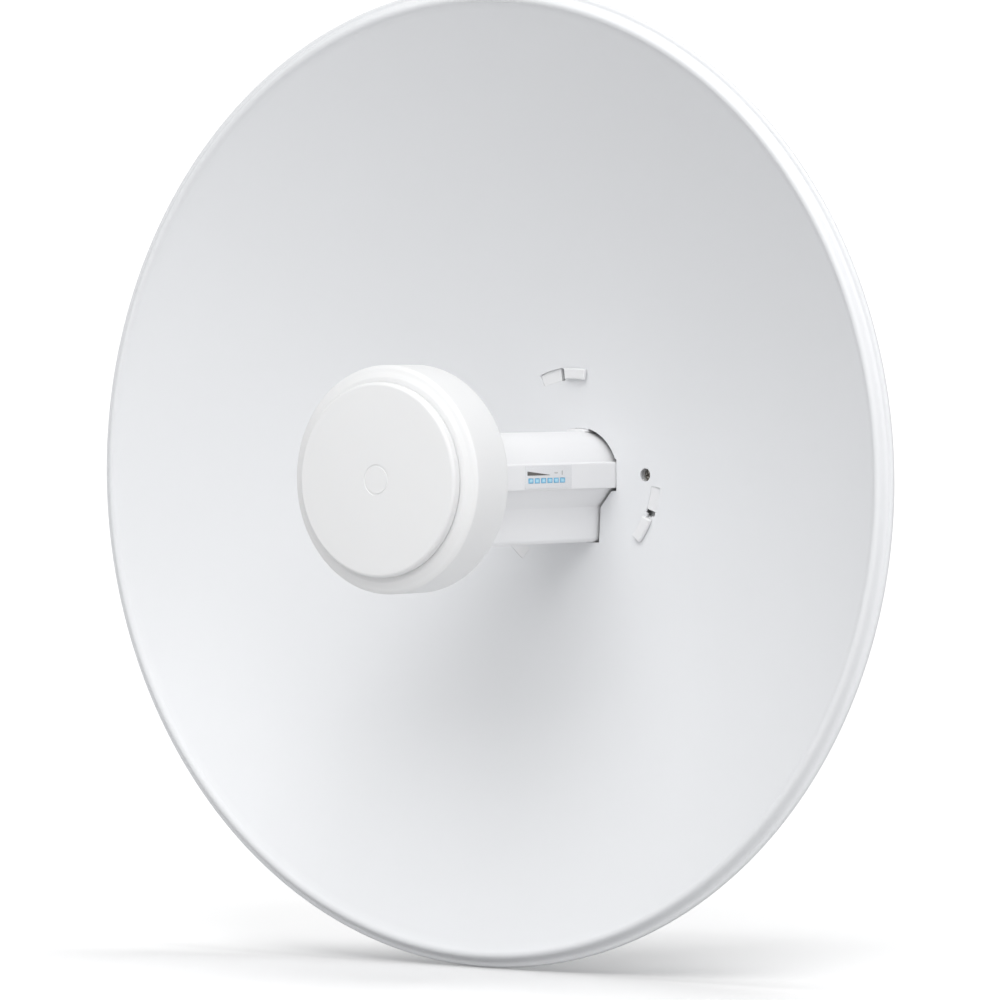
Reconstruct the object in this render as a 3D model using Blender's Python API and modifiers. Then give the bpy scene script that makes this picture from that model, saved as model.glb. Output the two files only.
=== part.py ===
# Outdoor wireless bridge: a round parabolic dish with the radio built into its
# feed, a plastic hub behind the dish, and a bracket that clamps a round pole.
#
# Frame: origin on the dish's front surface at its axis, -Y the way the dish
# looks, +Z up, left is -X.  Sizes are in millimetres; MM turns them into metres.
# "Ahead" is a distance in front of the dish's vertex, so y = -ahead.

import math

import bmesh
import bpy
from mathutils import Matrix, Vector

MM = 0.001
SIDES = (("left", -1), ("right", 1))
HEX = 6                  # sides of a nut or bolt head

# ---------------------------------------------------------------- shared dimensions
# dish
FOCAL = 142.0            # focal length of the paraboloid
SHEET = 1.2

# feed tube section (x across, z up), centred on the dish axis
TUBE_R = 18.6            # round top
RIB_X, RIB_LOW, RIB_HIGH = 20.3, -5.8, 5.5
SHOULDER = (17.2, RIB_LOW - 0.25)          # where the slope below the rib ends
BOX_X, BOX_Z, BOX_TOP = 10.8, -29.4, -13.9

# joint between dish and hub
HOOK_ANGLES = (1.6, 121.6, 241.6)          # clock angles
SCREW_AT = (37.2, 0.1)                     # x, z of the lock screw

# hub and what fits into it
HUB_R, HUB_INNER_R = 44.0, 41.5
LATCH_Y = 16.0           # middle of the release latch
RESET_Y = 25.5
PORT_Y = 38.0            # middle of the cable entry

# tilt joint
PIVOT_Y = 70.0
LOCK_RADIUS = 20.0
PIVOT_AT = (PIVOT_Y, 0)                    # y, z
LOCK_AT = (PIVOT_Y, -LOCK_RADIUS)
PIVOT_HOLE_R = 4.3
LOCK_HOLE_R = 3.3

# ---------------------------------------------------------------- scene
for old in list(bpy.data.objects):
    bpy.data.objects.remove(old, do_unlink=True)

root = bpy.context.scene.collection
parts = bpy.data.collections.new("outdoor_wireless_bridge")
cutters = bpy.data.collections.new("cutters")
root.children.link(parts)
root.children.link(cutters)


def material(name, colour, roughness, metallic=0.0):
    mat = bpy.data.materials.new(name)
    mat.use_nodes = True
    shader = mat.node_tree.nodes["Principled BSDF"]
    shader.inputs["Base Color"].default_value = (*colour, 1.0)
    shader.inputs["Roughness"].default_value = roughness
    shader.inputs["Metallic"].default_value = metallic
    mat.diffuse_color = (*colour, 1.0)
    return mat


WHITE_PAINT = material("white_paint", colour=(0.80, 0.81, 0.83), roughness=0.35)
WHITE_PLASTIC = material("white_plastic", colour=(0.83, 0.83, 0.83), roughness=0.40)
STEEL = material("steel", colour=(0.62, 0.62, 0.60), roughness=0.32, metallic=1.0)
CAST = material("cast_bracket", colour=(0.70, 0.71, 0.72), roughness=0.45, metallic=0.6)
RUBBER = material("rubber", colour=(0.05, 0.05, 0.05), roughness=0.75)
GREY_PLASTIC = material("grey_plastic", colour=(0.33, 0.34, 0.35), roughness=0.5)
BOARD = material("circuit_board", colour=(0.04, 0.22, 0.10), roughness=0.5)
COPPER = material("copper", colour=(0.85, 0.50, 0.30), roughness=0.30, metallic=1.0)
TIN = material("tin_plate", colour=(0.75, 0.75, 0.73), roughness=0.30, metallic=1.0)
CHIP = material("chip", colour=(0.03, 0.03, 0.03), roughness=0.5)
LIGHT = material("light_window", colour=(0.16, 0.30, 0.72), roughness=0.25)
LABEL = material("label", colour=(0.74, 0.75, 0.77), roughness=0.45)


# ---------------------------------------------------------------- solids
# Every maker takes an optional material.  A piece without one is a helper for
# booleans: it goes to the cutters collection and isn't rendered.
def add_object(name, mesh, mat):
    obj = bpy.data.objects.new(name, mesh)
    if mat is None:
        cutters.objects.link(obj)
        obj.hide_render = True
        obj.display_type = 'WIRE'
    else:
        parts.objects.link(obj)
        mesh.materials.clear()
        mesh.materials.append(mat)
    return obj


def add_bmesh(name, bm, mat):
    mesh = bpy.data.meshes.new(name)
    bm.to_mesh(mesh)
    bm.free()
    return add_object(name, mesh, mat)


def smooth(obj, angle=35.0):
    obj.data.shade_smooth()
    obj.data.set_sharp_from_angle(angle=math.radians(angle))


def span(half, middle=0.0):
    """Range reaching half to each side of the middle."""
    return (middle - half, middle + half)


def beside(side, inner, outer):
    """Range of x on one side (-1 or 1), between two distances from the axis."""
    return tuple(sorted((side * inner, side * outer)))


def box(name, x, y, z, mat=None, edge=0.0, segments=1):
    """Box given by its (low, high) ranges, with its edges bevelled by `edge`."""
    size = Vector([high - low for low, high in (x, y, z)]) * MM
    bm = bmesh.new()
    bmesh.ops.create_cube(bm, size=1.0, matrix=Matrix.Diagonal((*size, 1.0)))
    obj = add_bmesh(name, bm, mat)
    obj.location = Vector([low + high for low, high in (x, y, z)]) * MM / 2
    if edge:
        bevel = obj.modifiers.new("edge", 'BEVEL')
        bevel.width = edge * MM
        bevel.segments = segments
        bevel.limit_method = 'ANGLE'
        bevel.angle_limit = math.radians(40.0)
    return obj


def blocks(name, placed):
    """One helper mesh of boxes, each given as (centre, size, degrees about Z)."""
    bm = bmesh.new()
    for centre, size, turn in placed:
        matrix = (Matrix.Translation(Vector(centre) * MM)
                  @ Matrix.Rotation(math.radians(turn), 4, 'Z')
                  @ Matrix.Diagonal((*(Vector(size) * MM), 1.0)))
        bmesh.ops.create_cube(bm, size=1.0, matrix=matrix)
    return add_bmesh(name, bm, None)


AXIS_TURN = {
    "X": Matrix.Rotation(math.radians(90), 4, 'Y'),
    "Y": Matrix.Rotation(math.radians(-90), 4, 'X'),
    "Z": Matrix.Identity(4),
}


def rod(name, axis, centre, radius, low, high, mat=None, sides=24):
    """Cylinder or prism along an axis; centre is its place on the other two axes."""
    bm = bmesh.new()
    bmesh.ops.create_cone(bm, cap_ends=True, segments=sides, radius1=radius * MM,
                          radius2=radius * MM, depth=(high - low) * MM,
                          matrix=AXIS_TURN[axis])
    obj = add_bmesh(name, bm, mat)
    place = list(Vector(centre) * MM)
    place.insert("XYZ".index(axis), (low + high) / 2 * MM)
    obj.location = place
    if sides > 8:
        smooth(obj)
    return obj


def turned(name, profile, mat=None, steps=48, closed=False, about="dish"):
    """Turn a profile of (radius, height) points about an axis.

    about="dish": heights are distances ahead of the vertex on the dish axis.
    about="Z": a vertical axis, heights are z.
    """
    mesh = bpy.data.meshes.new(name)
    verts = [(radius * MM, 0.0, height * MM) for radius, height in profile]
    edges = [(i, i + 1) for i in range(len(verts) - 1)]
    if closed:
        edges.append((len(verts) - 1, 0))
    mesh.from_pydata(verts, edges, [])
    obj = add_object(name, mesh, mat)
    if about == "dish":
        obj.rotation_euler = (math.radians(90), 0, 0)
    turn = obj.modifiers.new("turn", 'SCREW')
    turn.axis = 'Z'
    turn.angle = 2 * math.pi
    turn.steps = steps
    turn.render_steps = steps
    turn.use_merge_vertices = True
    turn.merge_threshold = 0.1 * MM
    turn.use_smooth_shade = True
    return obj


def new_curve(name, dimensions, loops, closed):
    """Curve of straight-sided splines through the points of each loop."""
    curve = bpy.data.curves.new(name, 'CURVE')
    curve.dimensions = dimensions
    for loop in loops:
        spline = curve.splines.new('POLY')
        spline.points.add(len(loop) - 1)
        for point, (x, y, z) in zip(spline.points, loop):
            point.co = (x * MM, y * MM, z * MM, 1.0)
        spline.use_cyclic_u = closed
    return curve


def solid_from_curve(name, curve, mat, matrix):
    """The curve's evaluated shape as a welded mesh object."""
    source = bpy.data.objects.new(name + "_curve", curve)
    root.objects.link(source)
    source.matrix_world = matrix
    bpy.context.view_layer.update()
    depsgraph = bpy.context.evaluated_depsgraph_get()
    mesh = bpy.data.meshes.new_from_object(source.evaluated_get(depsgraph))
    bm = bmesh.new()
    bm.from_mesh(mesh)
    bmesh.ops.remove_doubles(bm, verts=bm.verts, dist=0.001 * MM)
    bm.to_mesh(mesh)
    bm.free()
    world = source.matrix_world.copy()
    bpy.data.objects.remove(source, do_unlink=True)
    bpy.data.curves.remove(curve)
    obj = add_object(name, mesh, mat)
    obj.matrix_world = world
    return obj


# Each plane: its matrix and the direction of a plate's thickness.
PLANES = {
    "XZ": (Matrix.Rotation(math.radians(90), 4, 'X'), Vector((0, 1, 0))),
    "YZ": (Matrix(((0, 0, 1, 0), (1, 0, 0, 0), (0, 1, 0, 0), (0, 0, 0, 1))),
           Vector((1, 0, 0))),
    "XY": (Matrix.Identity(4), Vector((0, 0, 1))),
}


def flat(name, loops, plane, low, high, mat=None):
    """Plate from closed outlines (the first is the edge, the rest are holes)."""
    curve = new_curve(name, '2D', [[(*point, 0.0) for point in loop] for loop in loops], True)
    curve.fill_mode = 'BOTH'
    curve.extrude = (high - low) / 2 * MM
    turn, normal = PLANES[plane]
    shift = Matrix.Translation(normal * ((low + high) / 2 * MM))
    return solid_from_curve(name, curve, mat, shift @ turn)


def wire(name, points, radius, mat, resolution):
    """Round wire along a line of points."""
    curve = new_curve(name, '3D', [points], False)
    curve.bevel_depth = radius * MM
    curve.bevel_resolution = resolution
    curve.use_fill_caps = True
    obj = solid_from_curve(name, curve, mat, Matrix.Identity(4))
    smooth(obj, 50)
    return obj


def combine(obj, others, operation):
    for other in others:
        boolean = obj.modifiers.new(operation.lower(), 'BOOLEAN')
        boolean.operation = operation
        boolean.object = other
        boolean.solver = 'EXACT'


def cut(obj, *others):
    combine(obj, others, 'DIFFERENCE')


def join(obj, *others):
    combine(obj, others, 'UNION')


# ---------------------------------------------------------------- outlines
def arc(radius, start, end, steps, centre=(0.0, 0.0)):
    """Points on a circle between two angles (degrees, counter-clockwise)."""
    angles = [math.radians(start + (end - start) * i / steps) for i in range(steps + 1)]
    return [(centre[0] + radius * math.cos(angle), centre[1] + radius * math.sin(angle))
            for angle in angles]


def circle(radius, steps, centre):
    return arc(radius, 0, 360, steps, centre)


def rectangle(first, second):
    """Outline between two (low, high) ranges."""
    return [(first[0], second[0]), (first[1], second[0]),
            (first[1], second[1]), (first[0], second[1])]


def reflected(right):
    """The other half of an outline, leaving out points on the centre line."""
    return [(-x, z) for x, z in reversed(right) if x > 1e-6]


def mirrored(right):
    """Outline from its right half, which starts or ends at the centre line's gap."""
    return right + reflected(right)


def offset(loop, distance):
    """Counter-clockwise outline moved outwards, corners kept sharp."""
    moved = []
    for i, point in enumerate(loop):
        before, corner, after = Vector(loop[i - 1]), Vector(point), Vector(loop[(i + 1) % len(loop)])
        edge_in, edge_out = (corner - before).normalized(), (after - corner).normalized()
        normal_in = Vector((edge_in.y, -edge_in.x))
        normal_out = Vector((edge_out.y, -edge_out.x))
        scale = distance / (1.0 + normal_in.dot(normal_out))
        moved.append(tuple(corner + (normal_in + normal_out) * scale))
    return moved


def hull(points):
    """Convex outline around points, counter-clockwise."""
    ordered = sorted(set((round(a, 5), round(b, 5)) for a, b in points))

    def turn(start, middle, end):
        return ((middle[0] - start[0]) * (end[1] - start[1])
                - (middle[1] - start[1]) * (end[0] - start[0]))

    def half(sequence):
        line = []
        for point in sequence:
            while len(line) > 1 and turn(line[-2], line[-1], point) <= 1e-9:
                line.pop()
            line.append(point)
        return line[:-1]
    return half(ordered) + half(reversed(ordered))


def polar(radius, clock):
    """Point (x, z) at a clock angle: 0 is up, 90 is +X."""
    angle = math.radians(90 - clock)
    return radius * math.cos(angle), radius * math.sin(angle)


def arc_block(name, inner_r, outer_r, start, end, low_y, high_y):
    """Helper block between two radii, two clock angles and two y."""
    steps = max(2, int(abs(end - start) / 8))
    outer = [polar(outer_r, end + (start - end) * i / steps) for i in range(steps + 1)]
    inner = [polar(inner_r, start + (end - start) * i / steps) for i in range(steps + 1)]
    return flat(name, [outer + inner], "XZ", low_y, high_y)


def hook_block(shape, index):
    """Arc block from a row of hook shapes, at one of the hook angles."""
    name, inner_r, outer_r, start, end, low_y, high_y = shape
    clock = HOOK_ANGLES[index]
    return arc_block(f"{name}_{index + 1}", inner_r, outer_r,
                     clock + start, clock + end, low_y, high_y)


# Right flank of the tube section, from the box's top up to the rib's.
TUBE_FLANK = [(BOX_X, BOX_TOP), SHOULDER, (RIB_X, RIB_LOW), (RIB_X, RIB_HIGH)]
BOX_CORNER_R = 2.5


def tube_outline():
    corner = arc(BOX_CORNER_R, -90, 0, 3, (BOX_X - BOX_CORNER_R, BOX_Z + BOX_CORNER_R))
    right = corner + TUBE_FLANK
    start = math.degrees(math.asin(RIB_HIGH / TUBE_R))
    return right + arc(TUBE_R, start, 180 - start, 16) + reflected(right)


TUBE = tube_outline()

# ================================================================ dish
DISH_STEPS = 60
CENTRE_R = 8.0           # inner edge of the turned sheet
BOWL_R = 202.8           # where the bowl meets the rim
BACK_R = 205.0           # the same on the rear surface
FRONT_STEPS, BACK_STEPS = 9, 8

# rolled rim from front to rear: radius, ahead
RIM = [(203.7, 73.4), (204.7, 73.5), (205.9, 72.9), (206.5, 70.7), (208.2, 71.1),
       (209.5, 70.8), (210.0, 69.6), (209.3, 68.0), (206.6, 68.2)]

# name, inner and outer radius, clock angles from the hook's, y of front and rear
SLOT_WINDOW = ("slot_window", 41.05, 46.55, -25.0, -8.6, -12, 6)
SLOT_HOOK = ("slot_hook", 42.3, 45.3, -9.2, 5.2, -12, 6)

OPENING_GAP = 1.25       # beside the box
OPENING_RIB_GAP = 0.35
OPENING_RIB_ROOM = 1.0   # above and below the rib
OPENING_FLOOR_GAP = 0.25
OPENING_R = TUBE_R + 1.9
OPENING_PAD_R = 20.05    # over the pad on top of the tube


def dish_back(radius):
    """Distance ahead of the dish's rear surface."""
    slope = radius / (2 * FOCAL)
    return radius * radius / (4 * FOCAL) - SHEET * math.sqrt(1 + slope * slope)


def opening_outline():
    """Close to the tube at the ribs and below, wider beside the box and round the arc."""
    right = [(BOX_X, BOX_Z)] + TUBE_FLANK
    wide = offset(mirrored(right), OPENING_GAP)
    rib_x = RIB_X + OPENING_RIB_GAP
    rib_top = RIB_HIGH + OPENING_RIB_ROOM
    side = [(wide[0][0], BOX_Z - OPENING_FLOOR_GAP), wide[1], wide[2],
            (rib_x, RIB_LOW - OPENING_RIB_ROOM), (rib_x, rib_top)]
    start = math.degrees(math.asin(rib_top / OPENING_R))
    side += arc(OPENING_R, start, 73.6, 8) + arc(OPENING_PAD_R, 74.2, 90.0, 2)
    return mirrored(side)


def make_dish():
    front = [CENTRE_R + (BOWL_R - CENTRE_R) * i / FRONT_STEPS for i in range(FRONT_STEPS + 1)]
    back = [BACK_R - (BACK_R - CENTRE_R) * i / BACK_STEPS for i in range(BACK_STEPS + 1)]
    profile = [(radius, radius * radius / (4 * FOCAL)) for radius in front]
    profile += RIM
    profile += [(radius, dish_back(radius)) for radius in back]
    dish = turned("dish", profile, WHITE_PAINT, DISH_STEPS, closed=True)
    cut(dish, flat("dish_opening", [opening_outline()], "XZ", -10, 10))
    for i in range(len(HOOK_ANGLES)):
        slot = hook_block(SLOT_WINDOW, i)
        join(slot, hook_block(SLOT_HOOK, i))
        cut(dish, slot)
    cut(dish, rod("dish_screw_hole", "Y", SCREW_AT, 2.9, -10, 8, sides=20))


# ================================================================ hub
HUB_STEPS = 44
HUB_REAR = 50.0          # y of the hub's rear face
HUB_FLOOR = 47.3         # y of its inner face
FLANGE_R = 58.0
FLANGE_EDGE = 0.8        # chamfer of the flange's front edge
FLANGE_GAP = 0.3         # between flange and dish
SOCKET_GAP = 0.6
SOCKET_WALL = 2.4
SOCKET_FRONT = 18.8
LUG_X = 9.2
LUG_PIVOT_R, LUG_LOCK_R = 9.5, 6.3
LUG_ROOT_Y, LUG_ROOT_Z = 48.6, (-31.0, 15.0)

# name, inner and outer radius, clock angles from the hook's, y of front and rear
HOOK_STEM = ("hook_stem", 42.6, 45.0, -6.4, 4.4, -5.0, 2.0)
HOOK_HEAD = ("hook_head", 41.45, 46.15, -6.8, 7.4, -5.75, -4.1)
WINDOW_PAD = ("window_pad", 41.15, 46.3, -24.7, -11.2, -2.95, 1.0)
HOOK_POCKET = ("hook_pocket", 41.9, 46.2, -10.9, -7.0, -4.6, 1.4)


def hub_profile():
    """Cup and flange: radius, ahead.  The flange's front follows the dish."""
    def flange_front(radius):
        return dish_back(radius) - FLANGE_GAP

    follow = [(radius, flange_front(radius))
              for radius in (HUB_INNER_R, HUB_R, 51, FLANGE_R - FLANGE_EDGE)]
    return ([(0, -HUB_FLOOR), (HUB_INNER_R, -HUB_FLOOR)] + follow
            + [(FLANGE_R, flange_front(FLANGE_R) - 0.9), (FLANGE_R, 2.0),
               (FLANGE_R - 1.2, 1.1), (HUB_R + 1.2, -2.4), (HUB_R, -4.5),
               (43.2, -46.0), (39.6, -HUB_REAR), (0, -HUB_REAR)])


def make_tilt_lug():
    """Lug behind the hub that carries the tilt pivot."""
    root_low, root_high = LUG_ROOT_Z
    outline = hull(circle(LUG_PIVOT_R, 20, PIVOT_AT) + circle(LUG_LOCK_R, 16, LOCK_AT)
                   + [(LUG_ROOT_Y, root_high), (LUG_ROOT_Y, root_low)])
    return flat("tilt_lug", [outline], "YZ", -LUG_X, LUG_X)


def make_rear_housing():
    housing = turned("rear_housing", hub_profile(), WHITE_PLASTIC, HUB_STEPS)
    join(housing,
         rod("front_web", "Y", (0, 0), HUB_INNER_R + 0.6, 3.6, 5.2, sides=HUB_STEPS),
         flat("socket_wall", [offset(TUBE, SOCKET_GAP + SOCKET_WALL)], "XZ",
              SOCKET_FRONT, 48.2),
         rod("screw_boss", "Y", SCREW_AT, 4.8, 0.2, 48.4, sides=20))
    for i in range(len(HOOK_ANGLES)):
        hook = hook_block(HOOK_STEM, i)
        join(hook, hook_block(HOOK_HEAD, i))
        join(housing, hook, hook_block(WINDOW_PAD, i))
        cut(housing, hook_block(HOOK_POCKET, i))
    join(housing, make_tilt_lug())
    cut(housing,
        flat("socket_bore", [offset(TUBE, SOCKET_GAP)], "XZ", 1.0, 47.1),
        arc_block("pad_way", 17.5, 20.6, -20.5, 20.5, 1.0, 8.4),
        box("button_hole", span(8.4), span(4.4, LATCH_Y), (34, 52)),
        box("port_opening", span(12.0), (22.5, 46.0), (-50, -33.5)),
        box("plug_opening", span(8.6), (22.5, 45.2), (-36, -28)),
        rod("lug_pivot_hole", "X", PIVOT_AT, PIVOT_HOLE_R, -15, 15),
        rod("lug_lock_hole", "X", LOCK_AT, LOCK_HOLE_R, -15, 15, sides=20),
        rod("screw_head_recess", "Y", SCREW_AT, 3.0, -6, 2.8, sides=20),
        rod("screw_pilot", "Y", SCREW_AT, 1.7, 1, 15.5, sides=16))


# pan head: radius, ahead
SCREW_HEAD = [(0, -0.1), (1.6, -0.25), (2.4, -0.9), (2.6, -1.6), (2.6, -2.4), (0, -2.4)]
RECESS_LONG, RECESS_THIN = 1.4, 0.3        # half sizes of the cross recess
RECESS_Y = (-1, 1.1)


def make_lock_screw():
    x, z = SCREW_AT
    screw = rod("lock_screw", "Y", SCREW_AT, 1.4, 1.6, 14.6, STEEL, 16)
    head = turned("lock_screw_head", SCREW_HEAD, steps=20)
    head.location = (x * MM, 0, z * MM)
    join(screw, head)
    cut(screw,
        box("recess_a", span(RECESS_LONG, x), RECESS_Y, span(RECESS_THIN, z)),
        box("recess_b", span(RECESS_THIN, x), RECESS_Y, span(RECESS_LONG, z)))


# ---------------------------------------------------------------- release latch
# right halves of the yoke's outlines: x, z
YOKE_OUTER = [(14.5, -34.6), (16.0, -33.0), (16.5, -17.5), (25.5, -8.0),
              (25.5, 24.0), (8.0, 32.0), (7.6, 41.0)]
YOKE_INNER = [(11.5, -30.2), (11.5, -15.6), (18.1, -7.2), (21.2, -7.2),
              (21.2, 9.5), (19.0, 15.0), (13.0, 20.5), (0, 23.2)]

SPRING_TURNS, SPRING_TURN_STEPS = 3.5, 12
SPRING_R, SPRING_WIRE_R = 2.4, 0.33
SPRING_SEAT_Z = -41.0
SPRING_LOW, SPRING_HIGH = 0.35, 5.65       # wire's ends above the seat


def make_release_latch():
    latch = flat("release_latch", [mirrored(YOKE_OUTER), mirrored(YOKE_INNER)], "XZ",
                 *span(2.0, LATCH_Y), GREY_PLASTIC)
    join(latch,
         box("latch_button", span(8.0), span(4.0, LATCH_Y), (38.6, 47.5), edge=1.0, segments=2),
         box("latch_tooth", span(5.4), span(1.7, LATCH_Y), (-31.0, -29.75)))


def make_latch_spring():
    coil = []
    for i in range(int(SPRING_TURNS * SPRING_TURN_STEPS) + 1):
        turn = i / SPRING_TURN_STEPS
        angle = 2 * math.pi * turn
        rise = (SPRING_HIGH - SPRING_LOW) * turn / SPRING_TURNS
        coil.append((SPRING_R * math.cos(angle), LATCH_Y + SPRING_R * math.sin(angle),
                     SPRING_SEAT_Z + SPRING_LOW + rise))
    wire("latch_spring", coil, SPRING_WIRE_R, STEEL, 1)


# ---------------------------------------------------------------- port cover
COVER_X = 15.0
COVER_Y = (21.0, 49.4)
COVER_Z = (-66.0, -36.0)
COVER_WALL = 2.0
CLIP_X = 10.2            # inner face of tongues and hooks
CLIP_Y = (26.0, 43.0)
# name, outer x, z
CLIPS = (("tongue", 13.6, (-48.0, -44.8)),
         ("hook", 11.6, (-46.0, -34.4)))

# radius, z
GROMMET = [(3.2, -62.2), (7.2, -62.2), (8.0, -62.8), (8.0, -63.7), (6.0, -63.7),
           (6.0, -66.3), (8.2, -66.3), (8.2, -67.2), (7.4, -68.0), (3.2, -68.0)]


def make_port_cover():
    cover = box("port_cover", span(COVER_X), COVER_Y, COVER_Z, WHITE_PLASTIC, edge=3.0,
                segments=3)
    cut(cover,
        box("cover_hollow", span(COVER_X - COVER_WALL),
            (COVER_Y[0] + COVER_WALL, COVER_Y[1] - COVER_WALL),
            (COVER_Z[0] + COVER_WALL, -20.0)),
        rod("cover_saddle", "Y", (0, 0), HUB_R + 0.45, 10, 60, sides=56),
        rod("grommet_hole", "Z", (0, PORT_Y), 6.3, -70, -60, sides=28))
    for clip, outer_x, z in CLIPS:
        for side_name, side in SIDES:
            join(cover, box(f"cover_{clip}_{side_name}", beside(side, CLIP_X, outer_x),
                            CLIP_Y, z))


def make_cable_grommet():
    grommet = turned("cable_grommet", GROMMET, RUBBER, 20, closed=True, about="Z")
    grommet.location = (0, PORT_Y * MM, 0)


# ================================================================ feed tube
TUBE_FRONT_Y, TUBE_REAR_Y = -119.0, 46.7
CAVITY_R = 16.4
# lower right side of the cavity: x, z
CAVITY_SIDE = [(8.4, -26.8), (8.4, -13.35), (15.4, -4.5)]

PAD_R = 19.85
PAD_ROOT = [(-4.0, 16.5), (4.0, 16.5)]

RAIL_X = (12.4, 17.2)    # distances from the axis
RAIL_HEIGHTS = ((-4.6, -3.5), (-1.3, -0.3))
# side, y ranges of its rails; the right side leaves room for the light pipe
RAIL_RUNS = ((-1, ((-112, 43.5),)),
             (1, ((-112, -75), (-25, 43.5))))

# light windows on the right rib
WINDOWS = 6
WINDOW_FIRST, WINDOW_PITCH = 39.9, 4.55    # ahead
WINDOW_Z = -1.65
WINDOW_W, WINDOW_H = 3.7, 2.2
WINDOW_GAP = 0.3
LABEL_Y = (-66.8, -33.2)


def window_blocks(name, x, extra):
    """Row of blocks at the windows, larger than them by `extra`."""
    size = (x[1] - x[0], WINDOW_W + extra, WINDOW_H + extra)
    return blocks(name, [(((x[0] + x[1]) / 2, -(WINDOW_FIRST + WINDOW_PITCH * i), WINDOW_Z),
                          size, 0) for i in range(WINDOWS)])


def make_feed_tube(window_cutter):
    tube = flat("feed_tube", [TUBE], "XZ", TUBE_FRONT_Y, TUBE_REAR_Y, WHITE_PLASTIC)
    join(tube,
         flat("top_pad", [arc(PAD_R, 74.6, 105.4, 6) + PAD_ROOT], "XZ", -2.4, 8.0),
         flat("tube_flange", [offset(TUBE, 3.0)], "XZ", -119.2, -117.6))
    cavity = CAVITY_SIDE + arc(CAVITY_R, -14, 194, 18) + reflected(CAVITY_SIDE)
    cut(tube, flat("tube_cavity", [cavity], "XZ", -125, 44.6))
    for side, runs in RAIL_RUNS:
        for y in runs:
            for z in RAIL_HEIGHTS:
                join(tube, box("rail", beside(side, *RAIL_X), y, z))
    label_low, label_high = LABEL_Y
    cut(tube,
        box("label_recess", (19.8, 22), (label_low - 0.3, label_high + 0.3), (-5.4, 5.1)),
        window_cutter,
        box("latch_notch", span(6), span(2.6, LATCH_Y), (-32, -28.0)),
        box("jack_mouth", span(6.4), (33.0, 42.8), (-32, -25)),
        rod("reset_hole", "Z", (0, RESET_Y), 2.0, -32, -25, sides=16))


def make_status_label(window_cutter):
    label = box("status_label", (20.1, 20.45), LABEL_Y, (-5.1, 4.8), LABEL)
    cut(label, window_cutter)


def make_light_pipe():
    """Bar inside the tube with a finger out to each window."""
    pipe = box("light_pipe", (13.9, 15.9), (-65.4, -37.0), (-3.7, -0.7), LIGHT)
    join(pipe, window_blocks("pipe_fingers", (15.0, 20.5), -WINDOW_GAP))


# ================================================================ head
HEAD_STEPS = 44
DISC_R, DISC_FRONT = 41.0, 144.0
LEDGE = 139.6            # ahead; the step round the front cover
DRUM_R, DRUM_BACK = 48.2, 114.2

# profiles: radius, ahead
DRUM = [(0, 117.3), (44.6, 117.5), (46.0, 119.4), (46.0, LEDGE - 3.2),
        (44.0, LEDGE - 2.3), (39.7, LEDGE - 2.3), (39.7, LEDGE), (41.4, LEDGE),
        (44.8, LEDGE - 0.8), (46.6, LEDGE - 1.6), (47.8, 137.1), (DRUM_R, 136.0),
        (DRUM_R, 117.6), (47.4, 115.4), (45.4, DRUM_BACK), (0, DRUM_BACK)]
FRONT_COVER = [(0, DISC_FRONT), (39.2, DISC_FRONT), (40.5, DISC_FRONT - 0.5),
               (DISC_R, DISC_FRONT - 1.8), (DISC_R, LEDGE + 0.5), (39.2, LEDGE + 0.4),
               (39.2, 133.0), (37.2, 133.0), (37.2, 141.8), (0, 141.8)]
SEAL = [(39.6, 137.0), (41.6, 137.0), (41.6, 135.0), (39.6, 135.0)]
REFLECTOR = [(0, 132.0), (34.0, 132.0), (36.0, 131.0), (36.0, 130.0),
             (35.2, 130.0), (33.6, 131.0), (0, 131.0)]

STANDOFF_PLACE_R = 20
COAX_X = 6
# y, z from rear to front
COAX_PATH = [(-101, -0.1), (-104, -0.1), (-107, 2.5), (-112, 10.5), (-115, 13.0),
             (-123.6, 13.0)]


def make_drum_shell():
    drum = turned("drum_shell", DRUM, WHITE_PLASTIC, HEAD_STEPS)
    join(drum, flat("drum_neck", [offset(TUBE, 3.2)], "XZ", -116.6, -109.5))
    cut(drum, flat("drum_bore", [offset(TUBE, 0.3)], "XZ", -130, -100))


def make_antenna():
    """Cover, seal, reflector, board and patch in front of the drum."""
    turned("front_cover", FRONT_COVER, WHITE_PLASTIC, HEAD_STEPS)
    turned("cover_seal", SEAL, RUBBER, 32, closed=True)
    turned("reflector_disc", REFLECTOR, TIN, 32)
    rod("antenna_board", "Y", (0, 0), 28.0, -125.6, -124.0, BOARD, 40)
    box("patch_plate", span(11), (-122.0, -121.4), span(11), COPPER, edge=0.2)
    rod("patch_spacer", "Y", (0, 0), 3.0, -123.7, -122.3, GREY_PLASTIC, 16)
    for i in range(4):
        angle = math.radians(45 + 90 * i)
        centre = (STANDOFF_PLACE_R * math.cos(angle), STANDOFF_PLACE_R * math.sin(angle))
        rod(f"standoff_{i + 1}", "Y", centre, 2.2, -130.7, -125.9, TIN, HEX)


def make_coax():
    for side_name, side in SIDES:
        wire("coax_" + side_name, [(side * COAX_X, y, z) for y, z in COAX_PATH], 1.0, COPPER, 1)


# ================================================================ electronics
# name, half width in x, y, z, material, edge
BOARD_PARTS = (
    ("main_board", 13.6, (-111.0, 43.0), (-3.2, -1.6), BOARD, 0.1),
    ("processor", 7.5, (-52.0, -37.0), (-1.3, 0.2), CHIP, 0.2),
    ("memory", 6.5, (-30.0, -21.0), (-1.3, -0.1), CHIP, 0.2),
    ("magnetics", 7.0, (4.0, 20.0), (-9.5, -3.5), CHIP, 0.3),
)
CAN_X, CAN_Y, CAN_TOP = 11.5, (-98.0, -60.0), 4.0
CAN_WALL = 0.4
JACK_X, JACK_Y = span(8.0), (31.2, 44.2)
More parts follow.
